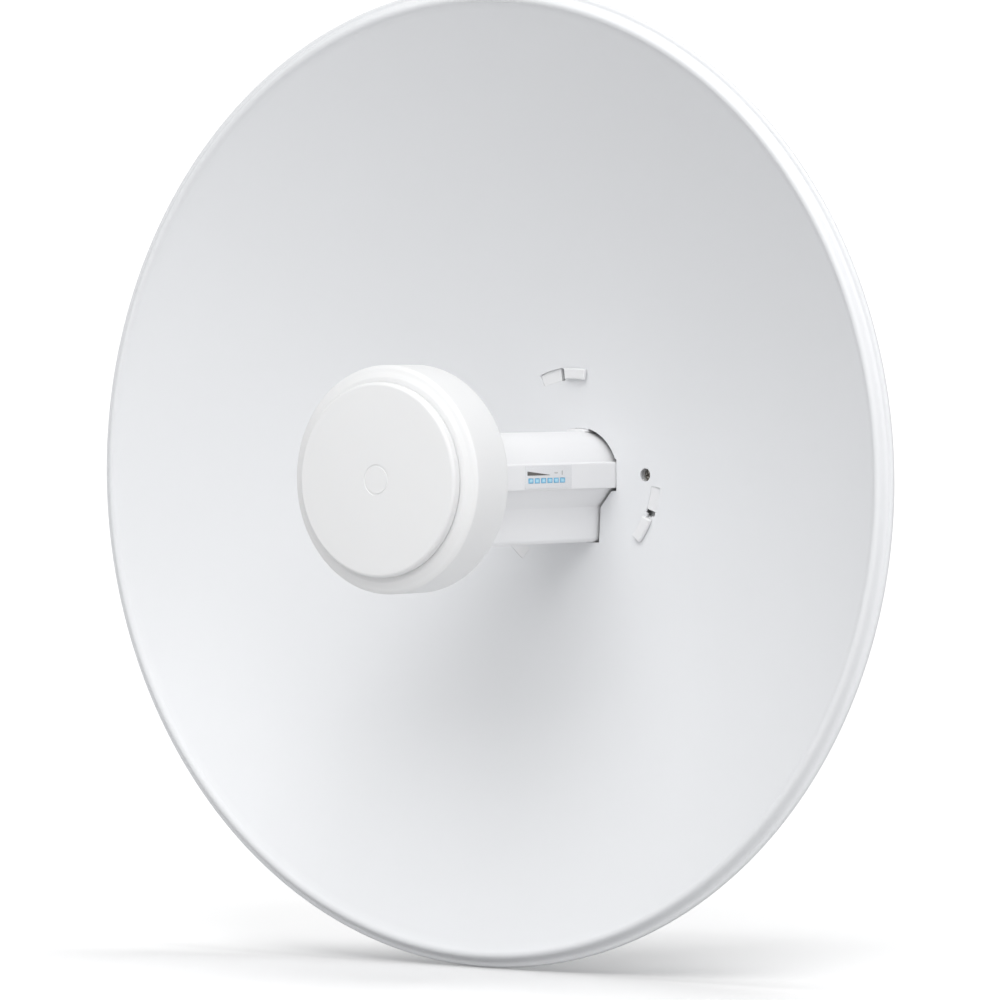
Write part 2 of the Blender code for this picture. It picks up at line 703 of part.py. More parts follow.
# radius, z
RESET_BUTTON = [(0, -25.5), (2.7, -25.5), (2.7, -26.4), (1.7, -26.4), (1.7, -29.0), (0, -29.0)]


def make_board_parts():
    for name, half_width, y, z, mat, edge in BOARD_PARTS:
        box(name, span(half_width), y, z, mat, edge)


def make_shield_can():
    can = box("shield_can", span(CAN_X), CAN_Y, (-1.3, CAN_TOP), TIN, edge=0.5)
    cut(can, box("can_hollow", span(CAN_X - CAN_WALL),
                 (CAN_Y[0] + CAN_WALL, CAN_Y[1] - CAN_WALL), (-3, CAN_TOP - CAN_WALL)))


def make_jack():
    jack = box("jack", JACK_X, JACK_Y, (-25.2, -3.5), TIN, edge=0.3)
    cut(jack,
        box("jack_hollow", span(5.95), (33.6, 40.6), (-30, -11.0)),
        box("jack_keyway", span(2.0), (40.0, 42.4), (-30, -13.0)))
    flat("jack_seal", [rectangle(JACK_X, JACK_Y), rectangle(span(6.6), (32.8, 43.0))],
         "XY", -26.5, -25.5, RUBBER)


def make_reset_button():
    button = turned("reset_button", RESET_BUTTON, GREY_PLASTIC, 16, about="Z")
    button.location = (0, RESET_Y * MM, 0)


# ================================================================ pole mount
TILT = 20.0              # swing of the lock bolt to each side
EAR_IN, EAR_OUT = 9.6, 12.6
EAR_PIVOT_R, EAR_LOCK_R = 10.0, 6.3
EAR_ROOT_Z = (-26.3, 10.0)
TILT_SLOT_HALF = 3.35
PLATE_Y = (84.0, 87.5)
WEB = [(78.0, 8.0), (84.6, 8.0), (84.6, 16.0)]       # y, z

APEX_Y = 89.8            # bottom of the saddle's V
FACE_ANGLE = 30
FACE_SLOPE = math.tan(math.radians(FACE_ANGLE))
FACE_X, SADDLE_X = 21.5, 24.0
TEETH = 5                # notches along each edge of each face
TOOTH_FIRST, TOOTH_PITCH, TOOTH_Z = 6.0, 3.4, 14.5
TOOTH_SIZE = (1.6, 1.6, 7.0)

LEG_X = 29.0
U_BOLT_R = 4.0
BOW_Y = 109.68           # centre of the U bolt's bow
LEG_FRONT = 63.68

HEAD_X = EAR_OUT + 0.3   # bolt heads and nuts start here
LOCK_WASHER_X = (-14.1, -HEAD_X)
LOCK_NUT_X = (-19.4, -14.4)
PIVOT_HEX_R, LOCK_HEX_R = 7.5, 5.77


def tilt_slot_outline():
    """Slot in the ear, bent round the pivot."""
    low, high = -90 - TILT, -90 + TILT

    def slot_end(start, angle):
        centre = (PIVOT_Y + LOCK_RADIUS * math.cos(math.radians(angle)),
                  LOCK_RADIUS * math.sin(math.radians(angle)))
        return arc(TILT_SLOT_HALF, start, start + 180, 6, centre)

    return (arc(LOCK_RADIUS + TILT_SLOT_HALF, low, high, 6, PIVOT_AT)
            + slot_end(high, high)[1:]
            + arc(LOCK_RADIUS - TILT_SLOT_HALF, high, low, 6, PIVOT_AT)[1:]
            + slot_end(low + 180, low)[1:-1])


def ear_outline():
    swing = math.radians(TILT)
    lock_end = (PIVOT_Y - LOCK_RADIUS * math.sin(swing), -LOCK_RADIUS * math.cos(swing))
    return hull(circle(EAR_PIVOT_R, 20, PIVOT_AT)
                + circle(EAR_LOCK_R, 16, lock_end)
                + circle(EAR_LOCK_R, 16, LOCK_AT)
                + [(PLATE_Y[0] + 1.5, z) for z in EAR_ROOT_Z])


def make_pole_bracket():
    bracket = box("pole_bracket", span(41), PLATE_Y, (-27, 20), CAST, edge=0.8)
    outlines = [ear_outline(), tilt_slot_outline()]
    for side_name, side in SIDES:
        low, high = beside(side, EAR_IN, EAR_OUT)
        ear = "ear_" + side_name
        join(bracket,
             flat(ear, outlines, "YZ", low, high),
             flat(ear + "_web", [WEB], "YZ", low, high))
    cut(bracket, rod("ear_pivot_hole", "X", PIVOT_AT, PIVOT_HOLE_R, -15, 15))
    for side_name, side in SIDES:
        cut(bracket, rod("leg_hole_" + side_name, "Y", (side * LEG_X, 0), 4.5, 80, 92))


def make_pole_saddle():
    """V block that grips the pole, with teeth along the edges of its faces."""
    foot_y = PLATE_Y[1] + 0.3
    face_y = APEX_Y + FACE_X * FACE_SLOPE
    flank_y = face_y + 1.5
    outline = [(-SADDLE_X, foot_y), (SADDLE_X, foot_y), (SADDLE_X, flank_y), (FACE_X, face_y),
               (0.0, APEX_Y), (-FACE_X, face_y), (-SADDLE_X, flank_y)]
    saddle = flat("pole_saddle", [outline], "XY", -17.0, 17.0, CAST)
    notches = []
    for side in (-1, 1):
        for i in range(TEETH):
            x = side * (TOOTH_FIRST + TOOTH_PITCH * i)
            y = APEX_Y + abs(x) * FACE_SLOPE
            for z in (-TOOTH_Z, TOOTH_Z):
                notches.append(((x, y, z), TOOTH_SIZE, 45 + FACE_ANGLE * side))
    cut(saddle,
        blocks("saddle_teeth", notches),
        box("saddle_lightening", span(16), (80, 88.8), span(11)))


def make_u_bolt():
    middle_y = (LEG_FRONT + BOW_Y) / 2
    path = [(-LEG_X, LEG_FRONT), (-LEG_X, middle_y)]
    path += arc(LEG_X, 180, 0, 15, (0, BOW_Y))
    path += [(LEG_X, middle_y), (LEG_X, LEG_FRONT)]
    wire("u_bolt", [(x, y, 0) for x, y in path], U_BOLT_R, STEEL, 2)
    for side_name, side in SIDES:
        centre = (side * LEG_X, 0)
        washer = rod("u_washer_" + side_name, "Y", centre, 8.0, 82.1, 83.7, STEEL, 28)
        nut = rod("u_nut_" + side_name, "Y", centre, 7.5, 75.3, 81.8, STEEL, HEX)
        hole = rod("u_hole_" + side_name, "Y", centre, 4.35, 70, 90, sides=20)
        cut(washer, hole)
        cut(nut, hole)


def make_pivot_bolt():
    bolt = rod("pivot_bolt", "X", PIVOT_AT, 4.0, -21.5, 14.0, STEEL)
    join(bolt, rod("pivot_head", "X", PIVOT_AT, PIVOT_HEX_R, HEAD_X, 18.2, sides=HEX))
    nut = rod("pivot_nut", "X", PIVOT_AT, PIVOT_HEX_R, -19.4, -HEAD_X, STEEL, HEX)
    cut(nut, rod("pivot_nut_hole", "X", PIVOT_AT, PIVOT_HOLE_R, -30, -10, sides=20))


def make_tilt_lock():
    bolt = rod("tilt_lock_bolt", "X", LOCK_AT, 3.0, -23.5, 14.0, STEEL, 20)
    join(bolt, rod("lock_head", "X", LOCK_AT, LOCK_HEX_R, HEAD_X, 16.9, sides=HEX))
    washer = rod("tilt_lock_washer", "X", LOCK_AT, 6.2, *LOCK_WASHER_X, STEEL)
    nut = rod("tilt_lock_nut", "X", LOCK_AT, LOCK_HEX_R, *LOCK_NUT_X, STEEL, HEX)
    hole = rod("lock_nut_hole", "X", LOCK_AT, LOCK_HOLE_R, -30, -10, sides=18)
    cut(washer, hole)
    cut(nut, hole)


# ================================================================ moving groups
def group(name, at, names, parent=None):
    """Empty at a joint that carries the named pieces without moving them."""
    empty = bpy.data.objects.new(name, None)
    empty.empty_display_size = 0.02
    parts.objects.link(empty)
    empty.location = Vector(at) * MM
    if parent is not None:
        empty.parent = parent
        empty.location = (Vector(at) - Vector(parent["at"])) * MM
    empty["at"] = at
    bpy.context.view_layer.update()
    inverse = empty.matrix_world.inverted()
    for piece_name in names:
        piece = bpy.data.objects[piece_name]
        piece.parent = empty
        piece.matrix_parent_inverse = inverse
    return empty


def make_groups():
    mount = group("pole_mount_axis", (0, 0, 0),
                  ["pole_bracket", "pole_saddle", "pivot_bolt", "pivot_nut",
                   "u_washer_left", "u_washer_right"])
    group("u_bolt_axis", (0, BOW_Y, 0), ["u_bolt"], mount)
    for side_name, side in SIDES:
        nut = "u_nut_" + side_name
        group(nut + "_axis", (side * LEG_X, 78.5, 0), [nut], mount)
    hub = group("tilt_axis", (0, PIVOT_Y, 0),
                ["dish", "rear_housing", "latch_spring", "lock_screw", "tilt_lock_bolt"], mount)
    washer = group("lock_washer_axis", (sum(LOCK_WASHER_X) / 2, *LOCK_AT),
                   ["tilt_lock_washer"], hub)
    group("lock_nut_axis", (sum(LOCK_NUT_X) / 2, *LOCK_AT), ["tilt_lock_nut"], washer)
    group("latch_axis", (0, LATCH_Y, 43), ["release_latch"], hub)
    group("port_cover_axis", (0, PORT_Y, -50), ["port_cover", "cable_grommet"], hub)
    feed = group("feed_axis", (0, 0, 0),
                 ["feed_tube", "drum_shell", "front_cover", "cover_seal", "reflector_disc",
                  "antenna_board", "patch_plate", "patch_spacer", "standoff_1", "standoff_2",
                  "standoff_3", "standoff_4", "coax_left", "coax_right", "main_board",
                  "shield_can", "processor", "memory", "magnetics", "jack", "jack_seal",
                  "light_pipe", "status_label"], hub)
    group("reset_axis", (0, RESET_Y, -27), ["reset_button"], feed)
    bpy.context.view_layer.update()


# ================================================================ build
make_dish()
make_rear_housing()
make_lock_screw()
make_release_latch()
make_latch_spring()
make_port_cover()
make_cable_grommet()

windows = window_blocks("window_cutter", (14.5, 22.5), WINDOW_GAP)
make_feed_tube(windows)
make_status_label(windows)
make_light_pipe()

make_drum_shell()
make_antenna()
make_coax()
make_board_parts()
make_shield_can()
make_jack()
make_reset_button()

make_pole_bracket()
make_pole_saddle()
make_u_bolt()
make_pivot_bolt()
make_tilt_lock()
make_groups()
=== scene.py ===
# Outdoor wireless bridge: a round dish, a feed head on a keyed tube through its middle, a hub
# with latch and port cover behind it, and a tilting pole bracket with a U-bolt.
# The origin is the dish's vertex. -Y is in front, +Y is behind (the pole), +Z is up and +X is
# to the right as seen from the front.
# Sizes are millimetres and MM turns them into metres; materials, lights and the camera's
# distance are in metres. "Reach" is the distance in front of the vertex, that is -y.
# Clock angles are degrees clockwise from the top, seen from the front.
import math

import bmesh
import bpy
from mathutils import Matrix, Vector


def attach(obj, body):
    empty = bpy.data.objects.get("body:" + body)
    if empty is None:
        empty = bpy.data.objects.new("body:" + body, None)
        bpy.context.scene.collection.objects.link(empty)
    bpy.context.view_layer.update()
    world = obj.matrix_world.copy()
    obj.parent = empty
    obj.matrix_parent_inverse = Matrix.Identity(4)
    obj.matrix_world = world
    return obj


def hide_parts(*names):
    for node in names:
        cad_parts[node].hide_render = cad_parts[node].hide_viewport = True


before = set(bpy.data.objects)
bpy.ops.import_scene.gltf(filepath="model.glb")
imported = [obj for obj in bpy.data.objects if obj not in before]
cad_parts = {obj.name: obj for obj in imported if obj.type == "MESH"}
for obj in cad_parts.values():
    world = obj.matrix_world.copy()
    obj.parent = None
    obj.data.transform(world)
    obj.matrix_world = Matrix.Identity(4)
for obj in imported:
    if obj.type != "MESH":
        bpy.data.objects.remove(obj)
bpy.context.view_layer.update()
MM = 0.001

# ------------------------------------------------------------------ dimensions
# Dish
FOCAL = 142.0
RIM_REACH = 69.6
SHEET = 1.2
RIM_START = 202.0       # radius where the bowl runs into the rolled rim
# Feed tube: an arc on top, a rib on each side and a box below
TUBE_R = 18.6
RIB_X, RIB_LOW, RIB_HIGH = 20.3, -5.8, 5.5
BOX_X, BOX_LOW, BOX_TOP = 10.8, -29.4, -13.9
# Head: reaches of the disc's face, the ledge and the drum's back
DISC_R, DISC_REACH = 41.0, 144.0
LEDGE_REACH = 139.6
DRUM_R, DRUM_BACK = 48.2, 114.2
# Hub
HUB_R, HUB_INNER_R, HUB_REAR, FLANGE_R = 44.0, 41.5, 50.0, 58.0
HOOK_CLOCKS = (1.6, 121.6, 241.6)
SCREW_AT = (37.2, 0.1)  # x, z
# Label on the tube's right rib, and its row of windows
LABEL_Y = (-66.8, -33.2)
WINDOWS, WINDOW_FIRST, WINDOW_PITCH = 6, 39.9, 4.55
WINDOW_W, WINDOW_H, WINDOW_Z = 3.7, 2.2, -1.65
# Tilt joint: y, z of the pivot and of the lock bolt; degrees of tilt each way
PIVOT_Y, LOCK_RADIUS, TILT = 70.0, 20.0, 20.0
PIVOT_AT = (PIVOT_Y, 0)
LOCK_AT = (PIVOT_Y, -LOCK_RADIUS)
EAR_IN, EAR_OUT, LUG_X = 9.6, 12.6, 9.2
# Bracket plate, V-block apex and U-bolt
PLATE_FRONT, PLATE_BACK, APEX_Y = 84.0, 87.5, 89.8
LEG_X, ROD_R, BOW_Y, LEG_FRONT = 29.0, 4.0, 109.68, 63.68
FLOOR_Z = -210.2        # just under the dish's rim

scene_root = bpy.context.scene.collection


# ================================================================== materials
class Graph:
    """Small helper round one node tree."""

    def __init__(self, tree):
        self.tree = tree

    def put(self, socket, value):
        """Links an output to the socket, or sets its value; colours are given as (r, g, b)."""
        if hasattr(value, "is_output"):
            self.tree.links.new(value, socket)
        elif socket.type == 'RGBA':
            socket.default_value = (*value, 1.0)
        else:
            socket.default_value = value

    def fill(self, node, **inputs):
        for key, value in inputs.items():
            self.put(node.inputs[key.replace("_", " ")], value)

    def node(self, kind, **inputs):
        node = self.tree.nodes.new(kind)
        self.fill(node, **inputs)
        return node

    def indexed(self, node, first, *values):
        """Fills the sockets from number first on."""
        for i, value in enumerate(values):
            self.put(node.inputs[first + i], value)

    def ramp(self, value, span=(0.3, 0.7), to=(0.0, 1.0), smooth=False):
        node = self.node("ShaderNodeMapRange", Value=value, From_Min=span[0], From_Max=span[1],
                         To_Min=to[0], To_Max=to[1])
        node.interpolation_type = 'SMOOTHSTEP' if smooth else 'LINEAR'
        return node.outputs["Result"]

    def math(self, operation, *values):
        node = self.node("ShaderNodeMath")
        node.operation = operation
        self.indexed(node, 0, *values)
        return node.outputs[0]

    def times(self, a, b):
        return self.math('MULTIPLY', a, b)

    def mix(self, factor, a, b):
        node = self.node("ShaderNodeMix")
        node.data_type = 'RGBA'
        self.put(node.inputs[0], factor)
        self.indexed(node, 6, a, b)
        return node.outputs[2]

    def mix_shaders(self, factor, a, b):
        node = self.node("ShaderNodeMixShader")
        self.indexed(node, 0, factor, a, b)
        return node.outputs[0]


class Surface(Graph):
    """A material with a Principled shader, textured in object coordinates."""

    def __init__(self, name):
        self.mat = bpy.data.materials.new(name)
        self.mat.use_nodes = True
        super().__init__(self.mat.node_tree)
        self.bsdf = self.tree.nodes["Principled BSDF"]
        self.coord = self.node("ShaderNodeTexCoord").outputs["Object"]

    def noise(self, scale, detail=3.0, rough=0.5, vector=None, distortion=0.0):
        node = self.node("ShaderNodeTexNoise", Scale=scale, Detail=detail, Roughness=rough,
                         Distortion=distortion, Vector=vector or self.coord)
        return node.outputs["Fac"]

    def xyz(self):
        return self.node("ShaderNodeSeparateXYZ", Vector=self.coord).outputs

    def stretch(self, scale):
        node = self.node("ShaderNodeMapping", Scale=scale, Vector=self.coord)
        return node.outputs["Vector"]

    def edges(self, radius, span):
        """0 on flat areas, 1 on edges sharper than about radius (metres)."""
        bevel = self.node("ShaderNodeBevel", Radius=radius)
        bevel.samples = 4
        geometry = self.node("ShaderNodeNewGeometry")
        facing = self.node("ShaderNodeVectorMath")
        facing.operation = 'DOT_PRODUCT'
        self.indexed(facing, 0, bevel.outputs[0], geometry.outputs["Normal"])
        gap = self.math('SUBTRACT', 1.0, facing.outputs["Value"])
        return self.ramp(gap, span=span, smooth=True)

    def bump(self, height, depth, over=None):
        """Bump of a depth in metres, laid over another bump's normal."""
        node = self.node("ShaderNodeBump", Distance=depth, Strength=1.0, Height=height)
        if over is not None:
            self.put(node.inputs["Normal"], over)
        return node.outputs["Normal"]

    def done(self, **inputs):
        self.fill(self.bsdf, **inputs)
        return self.mat


def tint(colour, factor, lift=0.0):
    return tuple(min(1.0, c * factor + lift) for c in colour)


def moulded_plastic(name, colour, rough, grain, depth, mottle=0.012, subsurface=0.0):
    """Injection-moulded plastic: fine grain, slight flow mottling, rubbed edges."""
    g = Surface(name)
    flow = g.noise(scale=14.0, rough=0.55, distortion=0.6)
    patch = g.noise(scale=90.0, detail=4.0, rough=0.6)
    base = g.mix(flow, tint(colour, 1 - mottle), tint(colour, 1 + mottle))
    wear = g.edges(radius=0.0005, span=(0.05, 0.5))
    grit = g.ramp(g.noise(scale=700.0, detail=2.0), span=(0.4, 0.62), to=(0.2, 1.0))
    rub = g.times(g.times(wear, grit), 0.4)
    base = g.mix(g.math('MINIMUM', rub, 0.6), base, tint(colour, 1.03, lift=0.01))
    gloss = g.ramp(patch, to=(rough - 0.035, rough + 0.035))
    gloss = g.times(gloss, g.ramp(wear, span=(0.0, 1.0), to=(1.0, 0.9)))
    normal = g.bump(g.noise(scale=grain, detail=2.0, rough=0.6), depth=depth)
    normal = g.bump(g.noise(scale=60.0, detail=2.0), depth=4e-5, over=normal)
    if subsurface:
        g.fill(g.bsdf, Subsurface_Weight=subsurface, Subsurface_Scale=0.0015,
               Subsurface_Radius=(1.0, 0.9, 0.8))
    return g.done(Base_Color=base, Roughness=gloss, Normal=normal)


def coated_sheet(name, colour):
    """Powder-coated sheet metal: orange peel, faint spin marks, thinner coat at the rim."""
    g = Surface(name)
    x, _, z = g.xyz()
    radius = g.math('SQRT', g.math('ADD', g.times(x, x), g.times(z, z)))
    base = g.mix(g.noise(scale=9.0), tint(colour, 0.993), tint(colour, 1.007))
    speck = g.ramp(g.noise(scale=1500.0, detail=1.0), span=(0.74, 0.80), to=(0.0, 0.12))
    base = g.mix(speck, base, tint(colour, 0.93))
    rim = g.ramp(radius, span=(0.2022, 0.2040), smooth=True)
    worn = g.times(rim, g.ramp(g.noise(scale=240.0), span=(0.45, 0.7), to=(0.0, 0.35)))
    base = g.mix(worn, base, tint(colour, 1.02))
    gloss = g.ramp(g.noise(scale=45.0, detail=4.0, rough=0.6), to=(0.45, 0.55))
    gloss = g.math('SUBTRACT', gloss, g.times(rim, 0.06))
    spin_pitch = 0.0042
    rings = g.math('SINE', g.times(radius, 2 * math.pi / spin_pitch))
    normal = g.bump(g.noise(scale=520.0, detail=2.0), depth=9e-6)
    normal = g.bump(rings, depth=6e-7, over=normal)
    normal = g.bump(g.noise(scale=20.0, detail=2.0), depth=5e-5, over=normal)
    return g.done(Base_Color=base, Roughness=gloss, Normal=normal, Specular_IOR_Level=0.45)


def plated_steel(name, colour=(0.60, 0.60, 0.58), rough=0.30, grain=(1, 1, 1), stain=0.35):
    """Zinc-plated steel: streaked grain, cloudy plating, brighter rubbed edges."""
    g = Surface(name)
    streak = g.noise(scale=420.0, rough=0.6, vector=g.stretch(grain))
    cloud = g.noise(scale=130.0, detail=4.0, rough=0.6, distortion=0.4)
    stained = tuple(c * k for c, k in zip(colour, (0.72, 0.70, 0.64)))
    base = g.mix(g.ramp(cloud, span=(0.35, 0.7), to=(0.0, stain)), colour, stained)
    wear = g.edges(radius=0.0004, span=(0.04, 0.4))
    base = g.mix(g.times(wear, 0.6), base, (0.86, 0.86, 0.85))
    gloss = g.ramp(streak, to=(rough - 0.08, rough + 0.10))
    gloss = g.math('ADD', gloss, g.ramp(cloud, to=(-0.04, 0.06)))
    normal = g.bump(streak, depth=8e-6)
    normal = g.bump(g.noise(scale=1800.0, detail=1.0), depth=3e-6, over=normal)
    return g.done(Base_Color=base, Metallic=1.0, Roughness=gloss, Normal=normal)


def painted_casting(name, colour):
    """Painted cast metal, worn to bare metal on its edges."""
    g = Surface(name)
    coarse = g.noise(scale=380.0, rough=0.6)
    base = g.mix(g.noise(scale=30.0), tint(colour, 0.95), colour)
    chipped = g.ramp(g.noise(scale=260.0, detail=4.0, rough=0.7), span=(0.48, 0.60))
    wear = g.times(g.edges(radius=0.0006, span=(0.05, 0.45)), chipped)
    base = g.mix(g.times(wear, 0.7), base, (0.42, 0.42, 0.41))
    normal = g.bump(g.noise(scale=1100.0, detail=2.0), depth=7e-6,
                    over=g.bump(coarse, depth=2.2e-5))
    return g.done(Base_Color=base, Metallic=g.times(wear, 0.8),
                  Roughness=g.ramp(coarse, to=(0.46, 0.62)), Normal=normal)


def rubber(name):
    """Black rubber with a little pale dust."""
    g = Surface(name)
    base = g.mix(g.noise(scale=160.0, detail=4.0), (0.020, 0.020, 0.021), (0.045, 0.045, 0.046))
    dust = g.ramp(g.noise(scale=900.0, detail=2.0), span=(0.60, 0.75), to=(0.0, 0.35))
    base = g.mix(dust, base, (0.16, 0.155, 0.15))
    return g.done(Base_Color=base, Roughness=g.ramp(g.noise(scale=400.0), to=(0.66, 0.85)),
                  Normal=g.bump(g.noise(scale=2400.0, detail=2.0), depth=1.0e-5))


def circuit_board(name):
    """Green board with a brick grid of paler lines."""
    g = Surface(name)
    grid = g.node("ShaderNodeTexBrick", Scale=1.0, Color1=(1, 1, 1), Color2=(0.6, 0.6, 0.6),
                  Mortar=(0, 0, 0), Mortar_Size=0.012, Brick_Width=0.9, Row_Height=0.28,
                  Vector=g.stretch((140, 140, 140))).outputs["Fac"]
    base = g.mix(g.noise(scale=50.0), (0.012, 0.115, 0.045), (0.018, 0.16, 0.062))
    base = g.mix(g.ramp(grid, span=(0.4, 0.6), to=(0.0, 0.8)), base, (0.06, 0.28, 0.10))
    return g.done(Base_Color=base, Roughness=g.ramp(g.noise(scale=300.0), to=(0.28, 0.45)),
                  Normal=g.bump(grid, depth=2e-5))


def fine_metal(name, colour, rough):
    g = Surface(name)
    grain = g.noise(scale=600.0, rough=0.6)
    tone = g.noise(scale=120.0, detail=4.0, rough=0.6)
    base = g.mix(g.ramp(tone, span=(0.3, 0.75), to=(0.0, 0.4)), colour, tint(colour, 0.7))
    return g.done(Base_Color=base, Metallic=1.0,
                  Roughness=g.ramp(grain, to=(rough - 0.08, rough + 0.12)),
                  Normal=g.bump(grain, depth=6e-6))


def chip_black(name):
    g = Surface(name)
    base = g.mix(g.noise(scale=500.0, detail=2.0), (0.018, 0.018, 0.019), (0.035, 0.035, 0.036))
    wear = g.edges(radius=0.0003, span=(0.05, 0.4))
    base = g.mix(g.times(wear, 0.4), base, (0.10, 0.10, 0.10))
    return g.done(Base_Color=base, Roughness=g.ramp(g.noise(scale=900.0), to=(0.42, 0.62)),
                  Normal=g.bump(g.noise(scale=4200.0, detail=2.0), depth=5e-6))


def light_window(name):
    """Blue windows, paler in their middles, with a faint painted glow."""
    g = Surface(name)
    _, y, z = g.xyz()
    first = -(WINDOW_FIRST + WINDOW_PITCH * 0.5) * MM
    step = g.math('DIVIDE', g.math('SUBTRACT', y, first), WINDOW_PITCH * MM)
    along = g.math('SUBTRACT', g.math('FRACT', step), 0.5)
    # distance from the window's middle: 1 at its edge
    along = g.math('DIVIDE', g.math('ABSOLUTE', along), 0.5 * WINDOW_W / WINDOW_PITCH)
    height = g.math('ABSOLUTE', g.math('SUBTRACT', z, WINDOW_Z * MM))
    height = g.math('DIVIDE', height, 0.5 * WINDOW_H * MM)
    far = g.math('MAXIMUM', along, height)
    core = g.ramp(far, span=(0.35, 0.80), to=(1.0, 0.0), smooth=True)
    base = g.mix(core, (0.13, 0.42, 0.66), (0.42, 0.68, 0.80))
    base = g.mix(g.ramp(g.noise(scale=900.0), to=(0.0, 0.18)), base, (0.20, 0.50, 0.70))
    # The weak emission is a painted glow: no lamp lies behind the windows.
    return g.done(Base_Color=base, Roughness=g.ramp(g.noise(scale=500.0), to=(0.22, 0.34)),
                  Emission_Color=base, Emission_Strength=0.10,
                  Normal=g.bump(g.noise(scale=1500.0), depth=4e-6))


def printed(name, colour, rough=0.5):
    g = Surface(name)
    base = g.mix(g.noise(scale=2500.0, detail=2.0), tint(colour, 0.85), tint(colour, 1.15))
    gloss = g.ramp(g.noise(scale=1200.0), to=(rough - 0.06, rough + 0.06))
    return g.done(Base_Color=base, Roughness=gloss,
                  Normal=g.bump(g.noise(scale=3000.0, detail=1.0), depth=3e-6))


PAINT = coated_sheet("paint_white", (0.815, 0.825, 0.840))
HEAD = moulded_plastic("plastic_head", (0.845, 0.848, 0.850), rough=0.46, grain=2600.0,
                       depth=5e-6, subsurface=0.05)
BODY = moulded_plastic("plastic_body", (0.850, 0.850, 0.858), rough=0.38, grain=3200.0,
                       depth=4e-6)
HUB = moulded_plastic("plastic_hub", (0.825, 0.828, 0.836), rough=0.46, grain=2000.0,
                      depth=9e-6)
BUTTON = moulded_plastic("plastic_grey", (0.30, 0.31, 0.325), rough=0.50, grain=1800.0,
                         depth=1.2e-5, mottle=0.05)
LABEL = printed("label_face", (0.780, 0.785, 0.800), rough=0.42)
INK = printed("ink_grey", (0.120, 0.112, 0.105))
INK_PALE = printed("ink_pale", (0.50, 0.50, 0.50))
STEEL = plated_steel("steel_plated")
STEEL_ROD = plated_steel("steel_rod", (0.62, 0.62, 0.60), rough=0.24, grain=(1.0, 0.25, 1.0),
                         stain=0.30)
SCREW = plated_steel("steel_dull", (0.46, 0.43, 0.39), rough=0.42, stain=0.6)
CASTING = painted_casting("casting_painted", (0.60, 0.61, 0.62))
RUBBER = rubber("rubber_black")
BOARD = circuit_board("board_green")
COPPER = fine_metal("copper_plate", (0.82, 0.46, 0.26), rough=0.30)
TIN = fine_metal("tin_plate_fine", (0.74, 0.74, 0.72), rough=0.32)
CHIP = chip_black("chip_black")
LIGHTS = light_window("light_windows")


# ================================================================== outlines in a plane
def arc(r, start, end, count, centre=(0.0, 0.0)):
    angles = [math.radians(start + (end - start) * i / count) for i in range(count + 1)]
    return [(centre[0] + r * math.cos(a), centre[1] + r * math.sin(a)) for a in angles]


def rounded(points, closed=True, step=12.0):
    """Polyline of (a, b, radius): corners with a radius become arcs of step degrees."""
    out = []
    count = len(points)
    for i, point in enumerate(points):
        r = point[2] if len(point) > 2 else 0.0
        if r <= 0 or (not closed and i in (0, count - 1)):
            out.append(point[:2])
            continue
        corner = Vector(point[:2])
        back = Vector(points[i - 1][:2]) - corner
        ahead = Vector(points[(i + 1) % count][:2]) - corner
        longest = (back.length * 0.49, ahead.length * 0.49)
        back.normalize()
        ahead.normalize()
        angle = math.acos(max(-1.0, min(1.0, back.dot(ahead))))
        if angle > math.radians(178):
            out.append(point[:2])
            continue
        tangent = min(r / math.tan(angle / 2), *longest)
        r = tangent * math.tan(angle / 2)
        centre = corner + (back + ahead).normalized() * (r / math.sin(angle / 2))
        first = corner + back * tangent - centre
        last = corner + ahead * tangent - centre
        start = math.atan2(first.y, first.x)
        turn = math.atan2(last.y, last.x) - start
        turn = (turn + math.pi) % (2 * math.pi) - math.pi
        steps = max(2, int(abs(math.degrees(turn)) / step + 0.5))
        for j in range(steps + 1):
            a = start + turn * j / steps
            out.append((centre.x + r * math.cos(a), centre.y + r * math.sin(a)))
    return out


def rounded_box(a, b, r, step):
    """Rectangle over the spans a and b with rounded corners."""
    return rounded([(a[0], b[0], r), (a[1], b[0], r), (a[1], b[1], r), (a[0], b[1], r)],
                   step=step)


def offset(loop, distance):
    """A counter-clockwise loop pushed outwards."""
    out = []
    for i, point in enumerate(loop):
        before, here, after = Vector(loop[i - 1]), Vector(point), Vector(loop[(i + 1) % len(loop)])
        into, away = (here - before).normalized(), (after - here).normalized()
        n0, n1 = Vector((into.y, -into.x)), Vector((away.y, -away.x))
        moved = here + (n0 + n1) * (distance / (1.0 + n0.dot(n1)))
        out.append((moved.x, moved.y))
    return out


def flipped(right):
    """Mirror image of a right half, in reverse; points on the middle line are left out."""
    return [(-p[0], *p[1:]) for p in reversed(right) if p[0] > 1e-6]


def hull(points):
    points = sorted(set((round(a, 5), round(b, 5)) for a, b in points))

    def half(sequence):
        line = []
        for p in sequence:
            while len(line) > 1 and ((line[-1][0] - line[-2][0]) * (p[1] - line[-2][1])
                                     - (line[-1][1] - line[-2][1]) * (p[0] - line[-2][0])) <= 1e-9:
                line.pop()
            line.append(p)
        return line[:-1]
    return half(points) + half(list(reversed(points)))


def polar(r, clock):
    angle = math.radians(90 - clock)
    return r * math.cos(angle), r * math.sin(angle)


def arc_outline(r_in, r_out, clock0, clock1, corner):
    """Outline between two radii and two clock angles with rounded corners."""
    count = max(6, int(abs(clock1 - clock0) / 1.5))

    def edge(r, start, end):
        return [(*polar(r, start + (end - start) * i / count),
                 corner if i in (0, count) else 0.0) for i in range(count + 1)]
    return rounded(edge(r_out, clock1, clock0) + edge(r_in, clock0, clock1), step=20.0)


